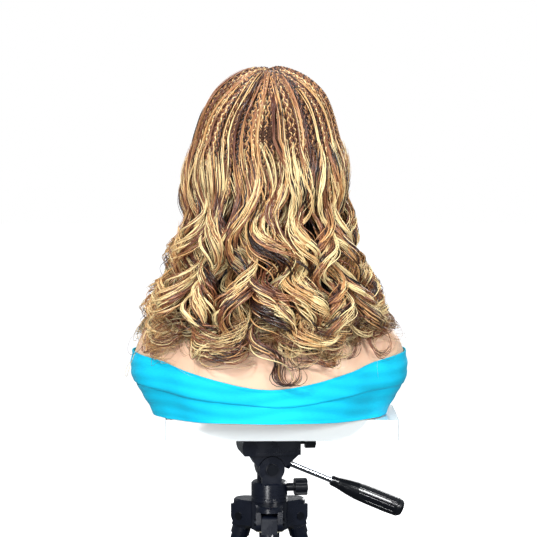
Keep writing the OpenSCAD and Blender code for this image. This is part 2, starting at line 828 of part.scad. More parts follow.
color("#22262c") hub();
color("#1b1b1d") column_bush();
color("silver") hinge_pins();
color("#17181a") column_lock_knob();
color("#8a93a6") column_tube();
color("#4a5264") column_head();
color("#17181a") column_cap();
color("#22262c") pan_base();
color("#17181a") pan_lock_knob();
color("silver") tilt_axle();
color("#c9c2a8") tilt_washers();
color("#22262c") tilt_platform();
color("#17181a") clamp_knob();
color("silver") handle_rod();
color("#101113") handle_grip();
color("#17181a") qr_plate();
color("#101010") qr_pad();
color("silver") mount_screw();
color("#f2f8f9") bust_board();
color("silver") tee_nut();
color("#303338") head_peg();
color("silver") peg_screws();
color("#e3b491") vinyl_skin();
color("#d8cdaa") head_core();
color("#2a2a2a") base_plate();
color("#2a2a2a") socket_tube();
color("white") eyes();
color("#1a120d") eyelashes();
color("#2b1d14") wig_cap();
color("#9a7350") hair_braids();
color("#b48a5e") hair_back();
color("#b48a5e") hair_left();
color("#b48a5e") hair_right();
color("#0ccdf4") stretch_band();
for (i = [0 : len(LEGS) - 1]) {
    color("#17181a") leg_frame(i) knuckle();
    color("#8a93a6") leg_frame(i) upper_tube();
    color("#17181a") leg_frame(i) leg_clamp();
    color("#22262c") leg_frame(i) clamp_lever();
    color("#9aa3b4") leg_frame(i) lower_tube();
    color("#101010") foot(i);
}
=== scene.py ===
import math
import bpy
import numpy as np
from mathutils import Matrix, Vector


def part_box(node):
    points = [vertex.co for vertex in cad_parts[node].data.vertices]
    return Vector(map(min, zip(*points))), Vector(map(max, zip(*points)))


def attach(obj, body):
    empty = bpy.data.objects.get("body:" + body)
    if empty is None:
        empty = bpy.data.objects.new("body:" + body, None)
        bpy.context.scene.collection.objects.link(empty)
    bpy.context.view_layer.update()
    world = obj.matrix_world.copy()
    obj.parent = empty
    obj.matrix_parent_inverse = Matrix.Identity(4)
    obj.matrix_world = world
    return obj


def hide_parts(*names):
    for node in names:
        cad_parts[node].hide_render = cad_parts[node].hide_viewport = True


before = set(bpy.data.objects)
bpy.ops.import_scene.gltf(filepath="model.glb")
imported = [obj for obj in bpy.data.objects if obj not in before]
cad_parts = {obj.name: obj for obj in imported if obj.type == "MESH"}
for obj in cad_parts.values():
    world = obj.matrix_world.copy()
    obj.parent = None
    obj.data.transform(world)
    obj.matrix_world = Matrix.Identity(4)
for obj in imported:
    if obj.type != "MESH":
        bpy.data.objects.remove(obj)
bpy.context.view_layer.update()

# %% [markdown]
# # A hairdresser's practice bust on a camera tripod
# The imported CAD model is the fixed frame of this scene: its nodes already stand where they belong, in
# metres, with +Z up and the face towards -Y. This lesson dresses it. The hard parts of the tripod and the
# board keep their CAD shape and get a finish. The bust, the stretch band and all the hair are modelled
# here, because a soft form and thousands of strands are what Blender is good at.

skin_low, skin_high = (np.array(corner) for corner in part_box("vinyl_skin"))
BASE = skin_low[2]                 # underside of the bust
CROWN = skin_high[2]               # top of the bare skull
SKULL = CROWN - 0.075              # middle of the skull
EYE = np.array([0.031, -0.069, sum(c[2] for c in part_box("eyes")) / 2])
CHIN = SKULL - 0.138
MIDDLE = 0.010                     # the torso's middle lies a little behind the column
draw = np.random.default_rng(7)    # every random choice comes from this one seed
print(f"bust from {BASE:.3f} to {CROWN:.3f} m, eyes at {EYE[2]:.3f} m")


def smooth(x, low, high):
    """0 below low, 1 above high, and an even curve between."""
    t = np.clip((x - low) / (high - low), 0, 1)
    return t * t * (3 - 2 * t)


def clear_selection():
    """An operator acts on all that is selected, and loading leaves the CAD nodes selected."""
    bpy.ops.object.select_all(action="DESELECT")


clear_selection()

# %% [markdown]
# ## Materials as sums
# A procedural finish is mostly arithmetic on coordinates and noise. Wiring that by hand hides it, so one
# small class wraps a socket and turns Python's + - * / into Math nodes, and one method makes any other node.

# %% A socket that can be added and multiplied, and a finish that makes nodes


def colour(r, g, b):
    """A colour picked on screen, 0 to 255, as the linear values that a shader wants."""
    parts = [c / 255 for c in (r, g, b)]
    return tuple(c / 12.92 if c <= 0.04045 else ((c + 0.055) / 1.055) ** 2.4 for c in parts) + (1.0,)


class Val:
    """One output socket. Sums on it add Math nodes to its tree."""

    def __init__(self, finish, socket):
        self.finish, self.socket = finish, socket

    def math(self, operation, a, b=0.0):
        return self.finish.node("Math", {"operation": operation}, {0: a, 1: b})

    def __add__(self, other):
        return self.math("ADD", self, other)

    def __sub__(self, other):
        return self.math("SUBTRACT", self, other)

    def __rsub__(self, other):
        return self.math("SUBTRACT", other, self)

    def __mul__(self, other):
        return self.math("MULTIPLY", self, other)

    def __truediv__(self, other):
        return self.math("DIVIDE", self, other)

    def __pow__(self, other):
        return self.math("POWER", self, other)

    __radd__, __rmul__ = __add__, __mul__


class Finish:
    """A material with its Principled shader, and the one method that makes every other node."""

    def __init__(self, name, **fixed):
        self.material = bpy.data.materials.new(name)
        self.material.use_nodes = True
        self.tree = self.material.node_tree
        self.shader = self.tree.nodes["Principled BSDF"]
        for words, value in fixed.items():
            self.set(words.replace("_", " ").title().replace("Ior", "IOR"), value)

    def plug(self, socket, value):
        if isinstance(value, Val):
            self.tree.links.new(value.socket, socket)
        else:
            socket.default_value = value

    def set(self, name, value):
        self.plug(self.shader.inputs[name], value)

    def node(self, kind, settings=None, sockets=None, out=0):
        node = self.tree.nodes.new("ShaderNode" + kind)
        for key, value in (settings or {}).items():
            if key == "stops":
                ramp = node.color_ramp
                while len(ramp.elements) < len(value):
                    ramp.elements.new(0.5)
                for element, (place, shade) in zip(ramp.elements, value):
                    element.position, element.color = place, shade
            else:
                setattr(node, key, value)
        for key, value in (sockets or {}).items():
            self.plug(node.inputs[key], value)
        return Val(self, node.outputs[out])

    def place(self):
        return self.node("TexCoord", out=3)

    def parts(self, vector):
        node = self.tree.nodes.new("ShaderNodeSeparateXYZ")
        self.plug(node.inputs[0], vector)
        return [Val(self, output) for output in node.outputs]

    def stretched(self, x, y, z):
        return self.node("Mapping", None, {"Vector": self.place(), "Scale": (x, y, z)})

    def noise(self, scale, detail=3.0, rough=0.5, where=None):
        return self.node("TexNoise", None, {"Vector": where or self.place(), "Scale": scale,
                                            "Detail": detail, "Roughness": rough})

    def ramp(self, value, stops):
        return self.node("ValToRGB", {"stops": stops}, {0: value})

    def mix(self, share, a, b):
        return self.node("Mix", {"data_type": "RGBA"}, {0: share, 6: a, 7: b}, out=2)

    def soft_step(self, value, low, high):
        return self.node("MapRange", {"interpolation_type": "SMOOTHSTEP"},
                         {0: value, 1: low, 2: high, 3: 0.0, 4: 1.0})

    def bump(self, height, depth, strength=1.0):
        self.set("Normal", self.node("Bump", None, {"Height": height, "Distance": depth,
                                                    "Strength": strength}))


print("a finish can be written as a sum")

# %% [markdown]
# ## Finishes of the tripod and its head
# The fittings are moulded in black nylon with a fine spark-eroded grain, and their shine varies in worn
# patches.
# Tubes are drawn aluminium, so their grain runs along them. The rod is bright plated steel.

# %% Moulded black plastic, drawn tube, plated steel, rubber and nylon


def moulded(name, shade, rough, grain=0.00006, speckle=900.0):
    finish = Finish(name, coat_weight=0.3, coat_roughness=0.12, specular_ior_level=0.5)
    worn = finish.noise(38.0, 4.0, 0.6)
    finish.set("Base Color", finish.mix(worn, tuple(c * 0.75 for c in shade[:3]) + (1,),
                                        tuple(c * 1.35 for c in shade[:3]) + (1,)))
    finish.set("Roughness", finish.soft_step(worn, 0.3, 0.75) * 0.16 + (rough - 0.08))
    finish.bump(finish.noise(speckle, 2.0, 0.6), grain)
    return finish.material


def drawn_tube(name, shade):
    finish = Finish(name, metallic=0.85)
    lines = finish.noise(1.0, 3.0, 0.6, finish.stretched(900, 900, 12))
    smear = finish.noise(24.0, 3.0)
    finish.set("Base Color", finish.mix(lines * 0.6 + smear * 0.4, tuple(c * 0.8 for c in shade[:3]) + (1,),
                                        tuple(c * 1.2 for c in shade[:3]) + (1,)))
    finish.set("Roughness", lines * 0.12 + smear * 0.1 + 0.2)
    finish.bump(lines, 0.00003)
    return finish.material


def plated(name):
    finish = Finish(name, metallic=1.0)
    smear = finish.noise(60.0, 4.0)
    finish.set("Base Color", finish.mix(smear, colour(172, 177, 186), colour(206, 211, 219)))
    finish.set("Roughness", smear * 0.12 + 0.07)
    finish.bump(finish.noise(1.0, 2.0, 0.5, finish.stretched(500, 500, 500)), 0.00001)
    return finish.material


def rubber(name):
    finish = Finish(name, specular_ior_level=0.3)
    dust = finish.noise(70.0, 5.0, 0.6)
    finish.set("Base Color", finish.mix(dust, colour(16, 16, 18), colour(44, 45, 48)))
    finish.set("Roughness", dust * 0.2 + 0.62)
    finish.bump(finish.noise(1400.0, 2.0), 0.00008)
    return finish.material


def lacquer():
    """White lacquer on board: a smooth clear coat over a faintly uneven ground."""
    finish = Finish("white_lacquer", coat_weight=1.0, coat_roughness=0.05, roughness=0.35)
    ground = finish.noise(9.0, 3.0)
    finish.set("Base Color", finish.mix(ground, colour(236, 246, 249), colour(246, 252, 253)))
    finish.bump(finish.noise(130.0, 2.0), 0.00005)
    return finish.material


def foam():
    finish = Finish("rigid_foam", specular_ior_level=0.2)
    cells = finish.noise(420.0, 3.0)
    finish.set("Base Color", finish.mix(cells, colour(214, 200, 160), colour(238, 228, 196)))
    finish.set("Roughness", cells * 0.1 + 0.85)
    finish.bump(cells, 0.0004)
    return finish.material


def cap_net():
    finish = Finish("wig_cap_net", specular_ior_level=0.2, roughness=0.85)
    threads = finish.noise(1.0, 1.0, 0.5, finish.stretched(700, 700, 700))
    finish.set("Base Color", finish.mix(finish.soft_step(threads, 0.42, 0.55), colour(30, 18, 12),
                                        colour(74, 48, 34)))
    finish.bump(threads, 0.0003)
    return finish.material


BLACK = moulded("black_moulding", colour(8, 13, 26), 0.30)
KNOB = moulded("knob_moulding", colour(9, 12, 20), 0.36, 0.00009, 700.0)
GRIP = moulded("grip_moulding", colour(7, 9, 14), 0.24)
INNER = moulded("inner_moulding", colour(44, 45, 50), 0.5)
TUBE = drawn_tube("dark_drawn_tube", colour(44, 52, 68))
BLACKENED = drawn_tube("blackened_steel", colour(38, 41, 48))
CHROME = plated("bright_plating")
RUBBER = rubber("moulded_rubber")
NYLON = moulded("natural_nylon", colour(206, 200, 176), 0.5)
FINISHES = {
    BLACK: ["hub", "pan_base", "tilt_platform", "qr_plate", "column_head"],
    KNOB: ["column_lock_knob", "pan_lock_knob", "clamp_knob", "column_cap"],
    GRIP: ["handle_grip"],
    CHROME: ["handle_rod", "mount_screw", "tee_nut", "peg_screws"],
    BLACKENED: ["hinge_pins", "tilt_axle"],
    NYLON: ["column_bush", "tilt_washers"],
    TUBE: ["column_tube"],
    RUBBER: ["qr_pad"],
    INNER: ["head_peg", "base_plate", "socket_tube"],
    lacquer(): ["bust_board"],
    foam(): ["head_core"],
    cap_net(): ["wig_cap"],
}
for leg in "abc":
    FINISHES[BLACK] += ["knuckle_" + leg, "clamp_lever_" + leg]
    FINISHES[KNOB] += ["leg_clamp_" + leg]
    FINISHES[TUBE] += ["upper_tube_" + leg, "lower_tube_" + leg]
    FINISHES[RUBBER] += ["foot_" + leg]
for material, nodes in FINISHES.items():
    for name in nodes:
        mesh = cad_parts[name].data
        mesh.materials.clear()
        mesh.materials.append(material)
print("finished", sum(len(nodes) for nodes in FINISHES.values()), "hard parts, foam and cap")

# %% [markdown]
# ## The bust's form as one function
# A vinyl head is one skin that flows from skull to shoulders, so boolean joints would leave hard creases.
# The form is written as a distance function instead: simple solids that melt into each other. A rough
# body of primitives is remeshed, and each of its points then slides onto the surface of that function.

# %% Solids that melt together


def ball(p, middle, radius):
    return np.linalg.norm(p - middle, axis=1) - radius


def egg(p, middle, radii):
    radii = np.array(radii)
    q = p - middle
    near = np.linalg.norm(q / radii, axis=1)
    far = np.linalg.norm(q / radii ** 2, axis=1)
    return near * (near - 1) / np.maximum(far, 1e-9)


def rod(p, a, b, thick_a, thick_b):
    a, along = np.array(a), np.array(b) - np.array(a)
    t = np.clip((p - a) @ along / (along @ along), 0, 1)
    return np.linalg.norm(p - a - t[:, None] * along, axis=1) - (thick_a + (thick_b - thick_a) * t)


def melt(a, b, width):
    h = np.clip(0.5 + 0.5 * (b - a) / width, 0, 1)
    return b + (a - b) * h - width * h * (1 - h)


def carve(a, b, width):
    return -melt(-a, b, width)


def torso(p):
    x, y, z = p[:, 0], p[:, 1] - MIDDLE, p[:, 2] - BASE
    rise = np.clip(z / 0.06, -0.3, 1)
    wide, deep = 0.136 + 0.015 * rise, 0.090 - 0.002 * rise
    sleeve = (np.sqrt((x / wide) ** 2 + (y / deep) ** 2) - 1) * deep
    column = -melt(-sleeve, 0.062 - z, 0.03)
    chest = egg(p, (0, MIDDLE, BASE + 0.062), (0.1325, 0.0885, 0.064))
    mirrored = np.column_stack([np.abs(p[:, 0]), p[:, 1], p[:, 2]])
    shoulder = ball(mirrored, (0.104, MIDDLE - 0.002, BASE + 0.062), 0.049)
    slope = rod(mirrored, (0.030, 0.020, BASE + 0.140), (0.108, 0.012, BASE + 0.078), 0.036, 0.034)
    blade = egg(mirrored, (0.062, 0.070, BASE + 0.058), (0.040, 0.024, 0.045))
    body = melt(melt(column, chest, 0.02), shoulder, 0.03)
    return melt(melt(body, slope, 0.045), blade, 0.03)


def neck(p):
    return rod(p, (0, 0.020, BASE + 0.09), (0, 0.008, SKULL - 0.065), 0.053, 0.049)


def skull(p):
    return melt(egg(p, (0, 0.004, SKULL), (0.0735, 0.0885, 0.0748)),
                egg(p, (0, -0.014, SKULL - 0.050), (0.0590, 0.0640, 0.0760)), 0.02)


def head(p):
    m = np.column_stack([np.abs(p[:, 0]), p[:, 1], p[:, 2]])
    eye = np.array([EYE[0], EYE[1], EYE[2]])
    form = skull(p)
    form = melt(form, egg(m, (0.012, -0.036, CHIN + 0.034), (0.040, 0.043, 0.036)), 0.022)
    form = melt(form, rod(m, (0, -0.073, CHIN + 0.0165), (0.008, -0.072, CHIN + 0.0170),
                          0.0150, 0.0140), 0.012)
    form = melt(form, rod(m, (0.018, -0.060, CHIN + 0.020), (0.048, -0.012, CHIN + 0.050),
                          0.011, 0.012), 0.020)
    form = melt(form, ball(m, (0.037, -0.060, EYE[2] - 0.024), 0.0185), 0.022)
    form = melt(form, rod(m, (0.008, -0.0830, EYE[2] + 0.0175), (0.044, -0.0670, EYE[2] + 0.0170),
                          0.0080, 0.0080), 0.014)
    form = carve(form, ball(m, eye + (0.001, -0.0285, 0.001), 0.0185), 0.012)
    # nose: bridge, tip, wings
    form = melt(form, rod(m, (0, -0.0800, EYE[2] + 0.008), (0, -0.0960, EYE[2] - 0.030),
                          0.0055, 0.0078), 0.011)
    form = melt(form, ball(m, (0, -0.0990, EYE[2] - 0.034), 0.0082), 0.007)
    form = melt(form, egg(m, (0.0100, -0.0890, EYE[2] - 0.0375), (0.0058, 0.0082, 0.0060)), 0.005)
    form = carve(form, egg(m, (0.0056, -0.0935, EYE[2] - 0.0435), (0.0027, 0.0046, 0.0038)), 0.002)
    # lips: a bow above, a fuller roll below
    lip = EYE[2] - 0.0640
    form = melt(form, ball(m, (0, -0.0700, lip), 0.0190), 0.018)
    form = melt(form, rod(m, (0.0035, -0.0880, lip + 0.0046), (0.0215, -0.0790, lip + 0.0006),
                          0.0042, 0.0020), 0.004)
    form = melt(form, rod(m, (0, -0.0872, lip - 0.0052), (0.0165, -0.0800, lip - 0.0024),
                          0.0054, 0.0026), 0.004)
    form = carve(form, rod(m, (0, -0.0935, lip - 0.0002), (0.0235, -0.0805, lip - 0.0004),
                           0.0010, 0.0008), 0.003)
    # lids: a thin cover round each eyeball, opened by an almond
    form = melt(form, ball(m, eye, 0.0140), 0.005)
    almond = np.maximum(
        np.hypot(m[:, 0] - eye[0], m[:, 2] - eye[2] + 0.0190) - 0.0221,
        np.hypot(m[:, 0] - eye[0], m[:, 2] - eye[2] - 0.0178) - 0.0216)
    opening = np.maximum(np.maximum(almond, ball(m, eye, 0.0175)), m[:, 1] - eye[1])
    form = carve(form, opening, 0.0007)
    # ears: a disc with a hollow, leaning back
    ear = melt(egg(m, (0.0765, 0.010, EYE[2] - 0.016), (0.0065, 0.0165, 0.0300)),
               rod(m, (0.0790, 0.0215, EYE[2] - 0.002), (0.0750, 0.0060, EYE[2] - 0.040),
                   0.0040, 0.0052), 0.004)
    ear = carve(ear, egg(m, (0.0850, 0.0065, EYE[2] - 0.014), (0.0065, 0.0095, 0.0180)), 0.004)
    return melt(form, ear, 0.005)


def bust(p):
    form = melt(neck(p), head(p), 0.018)
    return melt(form, torso(p), 0.035)


def slope_of(shape, p, step=0.0004):
    sides = [shape(p + np.eye(3)[i] * step) - shape(p - np.eye(3)[i] * step) for i in range(3)]
    away = np.column_stack(sides)
    return away / np.maximum(np.linalg.norm(away, axis=1, keepdims=True), 1e-9)


nose_tip = np.array([[0, -0.107, EYE[2] - 0.034]])
print("the nose's tip is", round(float(bust(nose_tip)[0]) * 1000, 1), "mm from the form")

# %% [markdown]
# ## From function to mesh
# A few primitives give the remesh something of the right size, and the voxel remesh gives even faces.
# Sliding the points onto the function keeps them even, so the lids and lips stay sharp.

# %% A body of primitives, remeshed and drawn onto the form


def points_of(mesh):
    flat = np.empty(len(mesh.vertices) * 3)
    mesh.vertices.foreach_get("co", flat)
    return flat.reshape(-1, 3)


def move_points(mesh, points):
    mesh.vertices.foreach_set("co", np.ascontiguousarray(points, dtype=np.float32).ravel())
    mesh.update()


def apply_all(piece):
    """Applies every modifier on a piece, in order."""
    clear_selection()
    bpy.context.view_layer.objects.active = piece
    piece.select_set(True)
    for modifier in list(piece.modifiers):
        bpy.ops.object.modifier_apply(modifier=modifier.name)


def primitive_body():
    solids = [((0, 0.006, SKULL), (0.074, 0.091, 0.075)),
              ((0, -0.026, SKULL - 0.055), (0.060, 0.060, 0.080)),
              ((0, -0.045, CHIN + 0.04), (0.045, 0.045, 0.040)),
              ((0, -0.085, EYE[2] - 0.03), (0.014, 0.022, 0.030)),
              ((0, MIDDLE, BASE + 0.10), (0.052, 0.052, 0.17)),
              ((0, MIDDLE, BASE + 0.03), (0.150, 0.088, 0.075)),
              ((0.105, MIDDLE, BASE + 0.062), (0.050, 0.050, 0.050)),
              ((-0.105, MIDDLE, BASE + 0.062), (0.050, 0.050, 0.050)),
              ((0.076, 0.010, EYE[2] - 0.016), (0.009, 0.018, 0.032)),
              ((-0.076, 0.010, EYE[2] - 0.016), (0.009, 0.018, 0.032))]
    clear_selection()
    made = []
    for middle, radii in solids:
        bpy.ops.mesh.primitive_uv_sphere_add(segments=48, ring_count=32, radius=1, location=middle,
                                             scale=radii)
        made.append(bpy.context.object)
    bpy.ops.mesh.primitive_cylinder_add(vertices=96, radius=1, depth=0.06, location=(0, MIDDLE, BASE + 0.01),
                                        scale=(0.140, 0.090, 1))
    made.append(bpy.context.object)
    for one in made:
        one.select_set(True)
    bpy.ops.object.join()
    bpy.ops.object.transform_apply(location=True, rotation=True, scale=True)
    return bpy.context.object


def refine_face(body):
    """Halves the faces round the eyes, nose and mouth, where the form is finest."""
    clear_selection()
    body.select_set(True)
    bpy.context.view_layer.objects.active = body
    for face in body.data.polygons:
        x, y, z = abs(face.center.x), face.center.y, face.center.z - EYE[2]
        eye = math.hypot(x - EYE[0], z) < 0.021
        mouth = x < 0.029 and -0.078 < z < -0.024
        face.select = bool(y < -0.055 and (eye or mouth))
    bpy.ops.object.mode_set(mode="EDIT")
    bpy.ops.mesh.subdivide(number_cuts=1)
    bpy.ops.object.mode_set(mode="OBJECT")


def bust_skin():
    body = primitive_body()
    body.name = "bust_skin"
    remesh = body.modifiers.new("even", "REMESH")
    remesh.mode, remesh.voxel_size = "VOXEL", 0.0021
    apply_all(body)
    refine_face(body)
    for turn in range(8):
        points = points_of(body.data)
        reach = bust(points)
        move_points(body.data, points - slope_of(bust, points) * reach[:, None] * (0.7 if turn < 5 else 1.0))
        if turn in (1, 3):
            relax = body.modifiers.new("relax", "SMOOTH")
            relax.factor, relax.iterations = 0.5, 3
            apply_all(body)
    # the casting is cut flat, and the rim is turned in and up as a thin edge
    bpy.ops.object.mode_set(mode="EDIT")
    bpy.ops.mesh.select_all(action="SELECT")
    bpy.ops.mesh.bisect(plane_co=(0, 0, BASE), plane_no=(0, 0, -1), use_fill=True, clear_outer=True)
    bpy.ops.object.mode_set(mode="OBJECT")
    for face in body.data.polygons:
        face.select = bool(face.normal.z < -0.95 and face.center.z < BASE + 0.0005 and face.area > 0.001)
    bpy.ops.object.mode_set(mode="EDIT")
    bpy.ops.mesh.inset(thickness=0.004, depth=0)
    bpy.ops.mesh.extrude_region_move(TRANSFORM_OT_translate={"value": (0, 0, 0.006)})
    bpy.ops.object.mode_set(mode="OBJECT")
    clear_selection()
    body.select_set(True)
    bpy.ops.object.shade_smooth_by_angle(angle=math.radians(50))
    return body


def vinyl():
    """Satin vinyl: an even flesh tone, slightly mottled, with sprayed lips, brows and cheeks, and painted
    shade in the line between the lips.
    """
    finish = Finish("satin_vinyl", subsurface_weight=0.12, subsurface_scale=0.004, coat_weight=0.12,
                    coat_roughness=0.3, specular_ior_level=0.45)
    finish.set("Subsurface Radius", (1.0, 0.45, 0.25))
    x, y, z = finish.parts(finish.place())
    side = x.math("ABSOLUTE", x)
    front = 1 - finish.soft_step(y, -0.075, -0.062)
    mottle = finish.noise(34.0, 4.0, 0.6)
    skin = finish.mix(mottle, colour(226, 184, 154), colour(240, 201, 172))
    cheek = ((side - 0.040) ** 2.0 + (z - (EYE[2] - 0.030)) ** 2.0) ** 0.5
    blush = (1 - finish.soft_step(cheek, 0.006, 0.026)) * front * 0.35
    skin = finish.mix(blush, skin, colour(226, 138, 122))
    lip_z = z - (EYE[2] - 0.0642)
    peak = finish.soft_step(side, 0.000, 0.005) * 0.0016 + 0.0058
    lips = 1 - finish.soft_step(((side / 0.0240) ** 2.0 + (lip_z / 0.0092) ** 2.0) ** 0.5, 0.93, 1.03)
    lips = lips * (1 - finish.soft_step(lip_z - peak, 0.0, 0.0009))
    lips = lips * (1 - finish.soft_step(y, -0.0805, -0.0785))
    # painted shade: a dark line in the crease where the lips meet
    parting = (1 - finish.soft_step(lip_z.math("ABSOLUTE", lip_z), 0.0004, 0.0013)) * lips
    skin = finish.mix(lips, skin, colour(196, 92, 94))
    skin = finish.mix(parting * 0.85, skin, colour(96, 34, 38))
    arch = z - (EYE[2] + 0.0185) - (1 - ((side - 0.034) / 0.024) ** 2.0) * 0.0045
    hairs = finish.noise(1.0, 2.0, 0.5, finish.stretched(2600, 300, 700))
    brow = (1 - finish.soft_step(arch.math("ABSOLUTE", arch), 0.0016, 0.0036))
    brow = brow * finish.soft_step(side, 0.012, 0.017) * (1 - finish.soft_step(side, 0.048, 0.055))
    brow = brow * (1 - finish.soft_step(y, -0.062, -0.056))
    brow = brow * finish.soft_step(hairs, 0.36, 0.56)
    skin = finish.mix(brow * 0.9, skin, colour(74, 48, 34))
    rim = ((side - EYE[0]) ** 2.0 / 1.6 + (z - EYE[2]) ** 2.0) ** 0.5
    liner = (1 - finish.soft_step(rim, 0.0078, 0.0115)) * (1 - finish.soft_step(y, -0.076, -0.070))
    skin = finish.mix(liner * 0.55, skin, colour(104, 66, 54))
    finish.set("Base Color", skin)
    finish.set("Roughness", mottle * 0.12 + 0.36 - lips * 0.14)
    finish.bump(finish.noise(1200.0, 3.0, 0.6) + finish.noise(260.0, 2.0) * 0.6, 0.00005)
    return finish.material


skin = bust_skin()
skin.data.materials.clear()
skin.data.materials.append(vinyl())
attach(skin, "bust")
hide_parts("vinyl_skin")
print("bust skin:", len(skin.data.polygons), "faces")

# %% [markdown]
# ## Eyes and lashes
# Training heads have painted, clear-coated eyeballs. The CAD spheres are right as they are, so the iris is
# only a pattern round the axis that looks forward. Lashes are short tapered hairs, fanned along the lid.

# %% Painted eyes


def painted_eye():
    finish = Finish("painted_eye", coat_weight=1.0, coat_roughness=0.03, roughness=0.25)
    x, y, z = finish.parts(finish.place())
    side = x.math("ABSOLUTE", x) - EYE[0]
    height = z - EYE[2]
    out = (side * side + height * height) ** 0.5
    rays = finish.noise(1.0, 3.0, 0.6, finish.stretched(900, 200, 900))
    iris = finish.mix(finish.soft_step(out + rays * 0.0012, 0.0022, 0.0056), colour(150, 108, 60),
                      colour(58, 38, 26))
    white = finish.mix(finish.noise(220.0, 3.0), colour(236, 232, 226), colour(248, 246, 242))
    shade = finish.mix(finish.soft_step(out, 0.0054, 0.0060), iris, white)
    shade = finish.mix(finish.soft_step(out, 0.0021, 0.0024), colour(8, 7, 7), shade)
    behind = finish.soft_step(y, EYE[1] - 0.004, EYE[1])
    finish.set("Base Color", finish.mix(behind, shade, white))
    return finish.material


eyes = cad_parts["eyes"].data
eyes.materials.clear()
eyes.materials.append(painted_eye())
print("eyes painted")

# %% [markdown]
# ## The stretch band
# A tube of knitted fabric is pulled over the shoulders. It follows the form wherever it is tight, so each
# point of a flat strip is sent inwards to the bust until it meets it. The top edge stays high in front and
# dips at the back, where the knit is turned over on itself and leaves one long fold.

# %% A tube of knit drawn onto the bust
BAND_TOP, BAND_DIP = 0.078, 0.037
BAND_ROUND, BAND_ROWS = 320, 56
HEM = 0.0012                       # the band's lower edge over the bust's underside


def drawn_onto(start, inward, clearance):
    """Walks each point along its own direction until it is this far from the bust."""
    points = start.copy()
    for _ in range(60):
        points += inward * (bust(points) - clearance)[:, None] * 0.8
    return points


def band_points():
    around = np.linspace(0, 2 * math.pi, BAND_ROUND, endpoint=False)[:, None]
    share = np.linspace(0, 1, BAND_ROWS)[None, :]
    east, north = np.sin(around), np.cos(around)
    top = BAND_TOP - BAND_DIP * np.clip(north, 0, 1) ** 2
    height = HEM + share * (top - HEM)
    height = height + 0.0007 * np.sin(3 * around + 1.0) * share
    far = np.stack([0.30 * east + 0 * share, MIDDLE + 0.30 * north + 0 * share, BASE + height], -1)
    far = far.reshape(-1, 3)
    inward = np.stack([-east + 0 * share, -north + 0 * share, 0 * height], -1).reshape(-1, 3)
    fold = 0.0215 + 0.018 * east ** 2 + 0.001 * np.sin(5 * around)
    over = smooth(height, fold - 0.0008, fold + 0.0008) * (1 - 0.6 * smooth(height, fold, fold + 0.020))
    hem = smooth(0.0030 - np.minimum(height - HEM, top - height), 0, 0.0014)
    pucker = 0.00045 * np.sin(around * 23 + 40 * height) * smooth(np.abs(east), 0.75, 1.0)
    drag = 0.0004 * np.sin(height * 420 + 2 * np.sin(around * 4))
    rise = 0.0005 + 0.0021 * over + 0.0005 * hem + pucker + drag
    return drawn_onto(far, inward, 0.0004) - inward * rise.reshape(-1, 1)


def stretch_band():
    mesh = bpy.data.meshes.new("stretch_band_knit")
    i, j = np.meshgrid(np.arange(BAND_ROUND), np.arange(BAND_ROWS - 1), indexing="ij")
    after = (i + 1) % BAND_ROUND
    quads = np.stack([i * BAND_ROWS + j, i * BAND_ROWS + j + 1,
                      after * BAND_ROWS + j + 1, after * BAND_ROWS + j], -1)
    mesh.from_pydata(band_points().tolist(), [], quads.reshape(-1, 4).tolist())
    piece = bpy.data.objects.new("stretch_band_knit", mesh)
    bpy.context.scene.collection.objects.link(piece)
    bpy.context.view_layer.objects.active = piece
    clear_selection()
    piece.select_set(True)
    bpy.ops.object.mode_set(mode="EDIT")
    bpy.ops.mesh.select_all(action="SELECT")
    bpy.ops.mesh.normals_make_consistent(inside=False)
    bpy.ops.object.mode_set(mode="OBJECT")
    cloth = piece.modifiers.new("cloth", "SOLIDIFY")
    cloth.thickness, cloth.offset = 0.0011, 1.0
    apply_all(piece)
    bpy.ops.object.shade_smooth_by_angle(angle=math.radians(60))
    return piece


def knit():
    finish = Finish("cyan_knit", sheen_weight=0.08, sheen_roughness=0.4, specular_ior_level=0.25)
    rows = finish.noise(1.0, 2.0, 0.5, finish.stretched(300, 300, 2600))
    cloud = finish.noise(22.0, 3.0)
    finish.set("Base Color", finish.mix(rows * 0.5 + cloud * 0.5, colour(0, 172, 218), colour(12, 222, 255)))
    finish.set("Roughness", rows * 0.1 + 0.68)
    finish.bump(rows + finish.noise(900.0, 2.0), 0.00022, 0.7)
    return finish.material


band = stretch_band()
band.data.materials.append(knit())
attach(band, "bust")
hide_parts("stretch_band")
print("band: top edge", round((BAND_TOP - BAND_DIP) * 1000, 1), "mm over the rim at the back")

# %% [markdown]
# ## The hair's flow
# The wig is plaited over the crown and combed out below. From its root each plait runs over the cap, hangs
# from the widest part of the head, and opens into loose hair that gathers in about thirty curls.
# Blender's hair system can't be exported as a mesh, so every strand is a thin closed ribbon whose path is
# worked out here: first over the cap, then down an outline of the whole hairdo, swinging from side to side.

# %% The hairdo's outline, from crown to shoulders
CAP = 0.0768                       # radius of the wig cap, a short capsule along Y
heights = np.linspace(0.0, 0.42, 421)


def outline(points):
    """A smooth curve through a few (height over the bust's underside, size) pairs."""
    given = np.array(points)
    rough = np.interp(heights, given[:, 0], given[:, 1])
    padded = np.pad(rough, 12, mode="edge")
    evened = np.convolve(padded, np.ones(25) / 25, mode="valid")
    return lambda h: np.interp(h, heights, evened)


half_width = outline([(0.04, 0.132), (0.09, 0.140), (0.13, 0.137), (0.155, 0.127), (0.180, 0.112),
                      (0.215, 0.101), (0.26, 0.0965), (0.30, 0.094), (0.325, 0.0895), (0.345, 0.084),
                      (0.365, 0.076), (0.385, 0.063)])
back_depth = outline([(0.04, 0.120), (0.09, 0.126), (0.13, 0.122), (0.18, 0.112), (0.24, 0.105),
                      (0.30, 0.101), (0.34, 0.096), (0.37, 0.089)])
FRONT_DEPTH = 0.105
LEAN = 0.003                       # the whole wig is combed a little to the mannequin's left


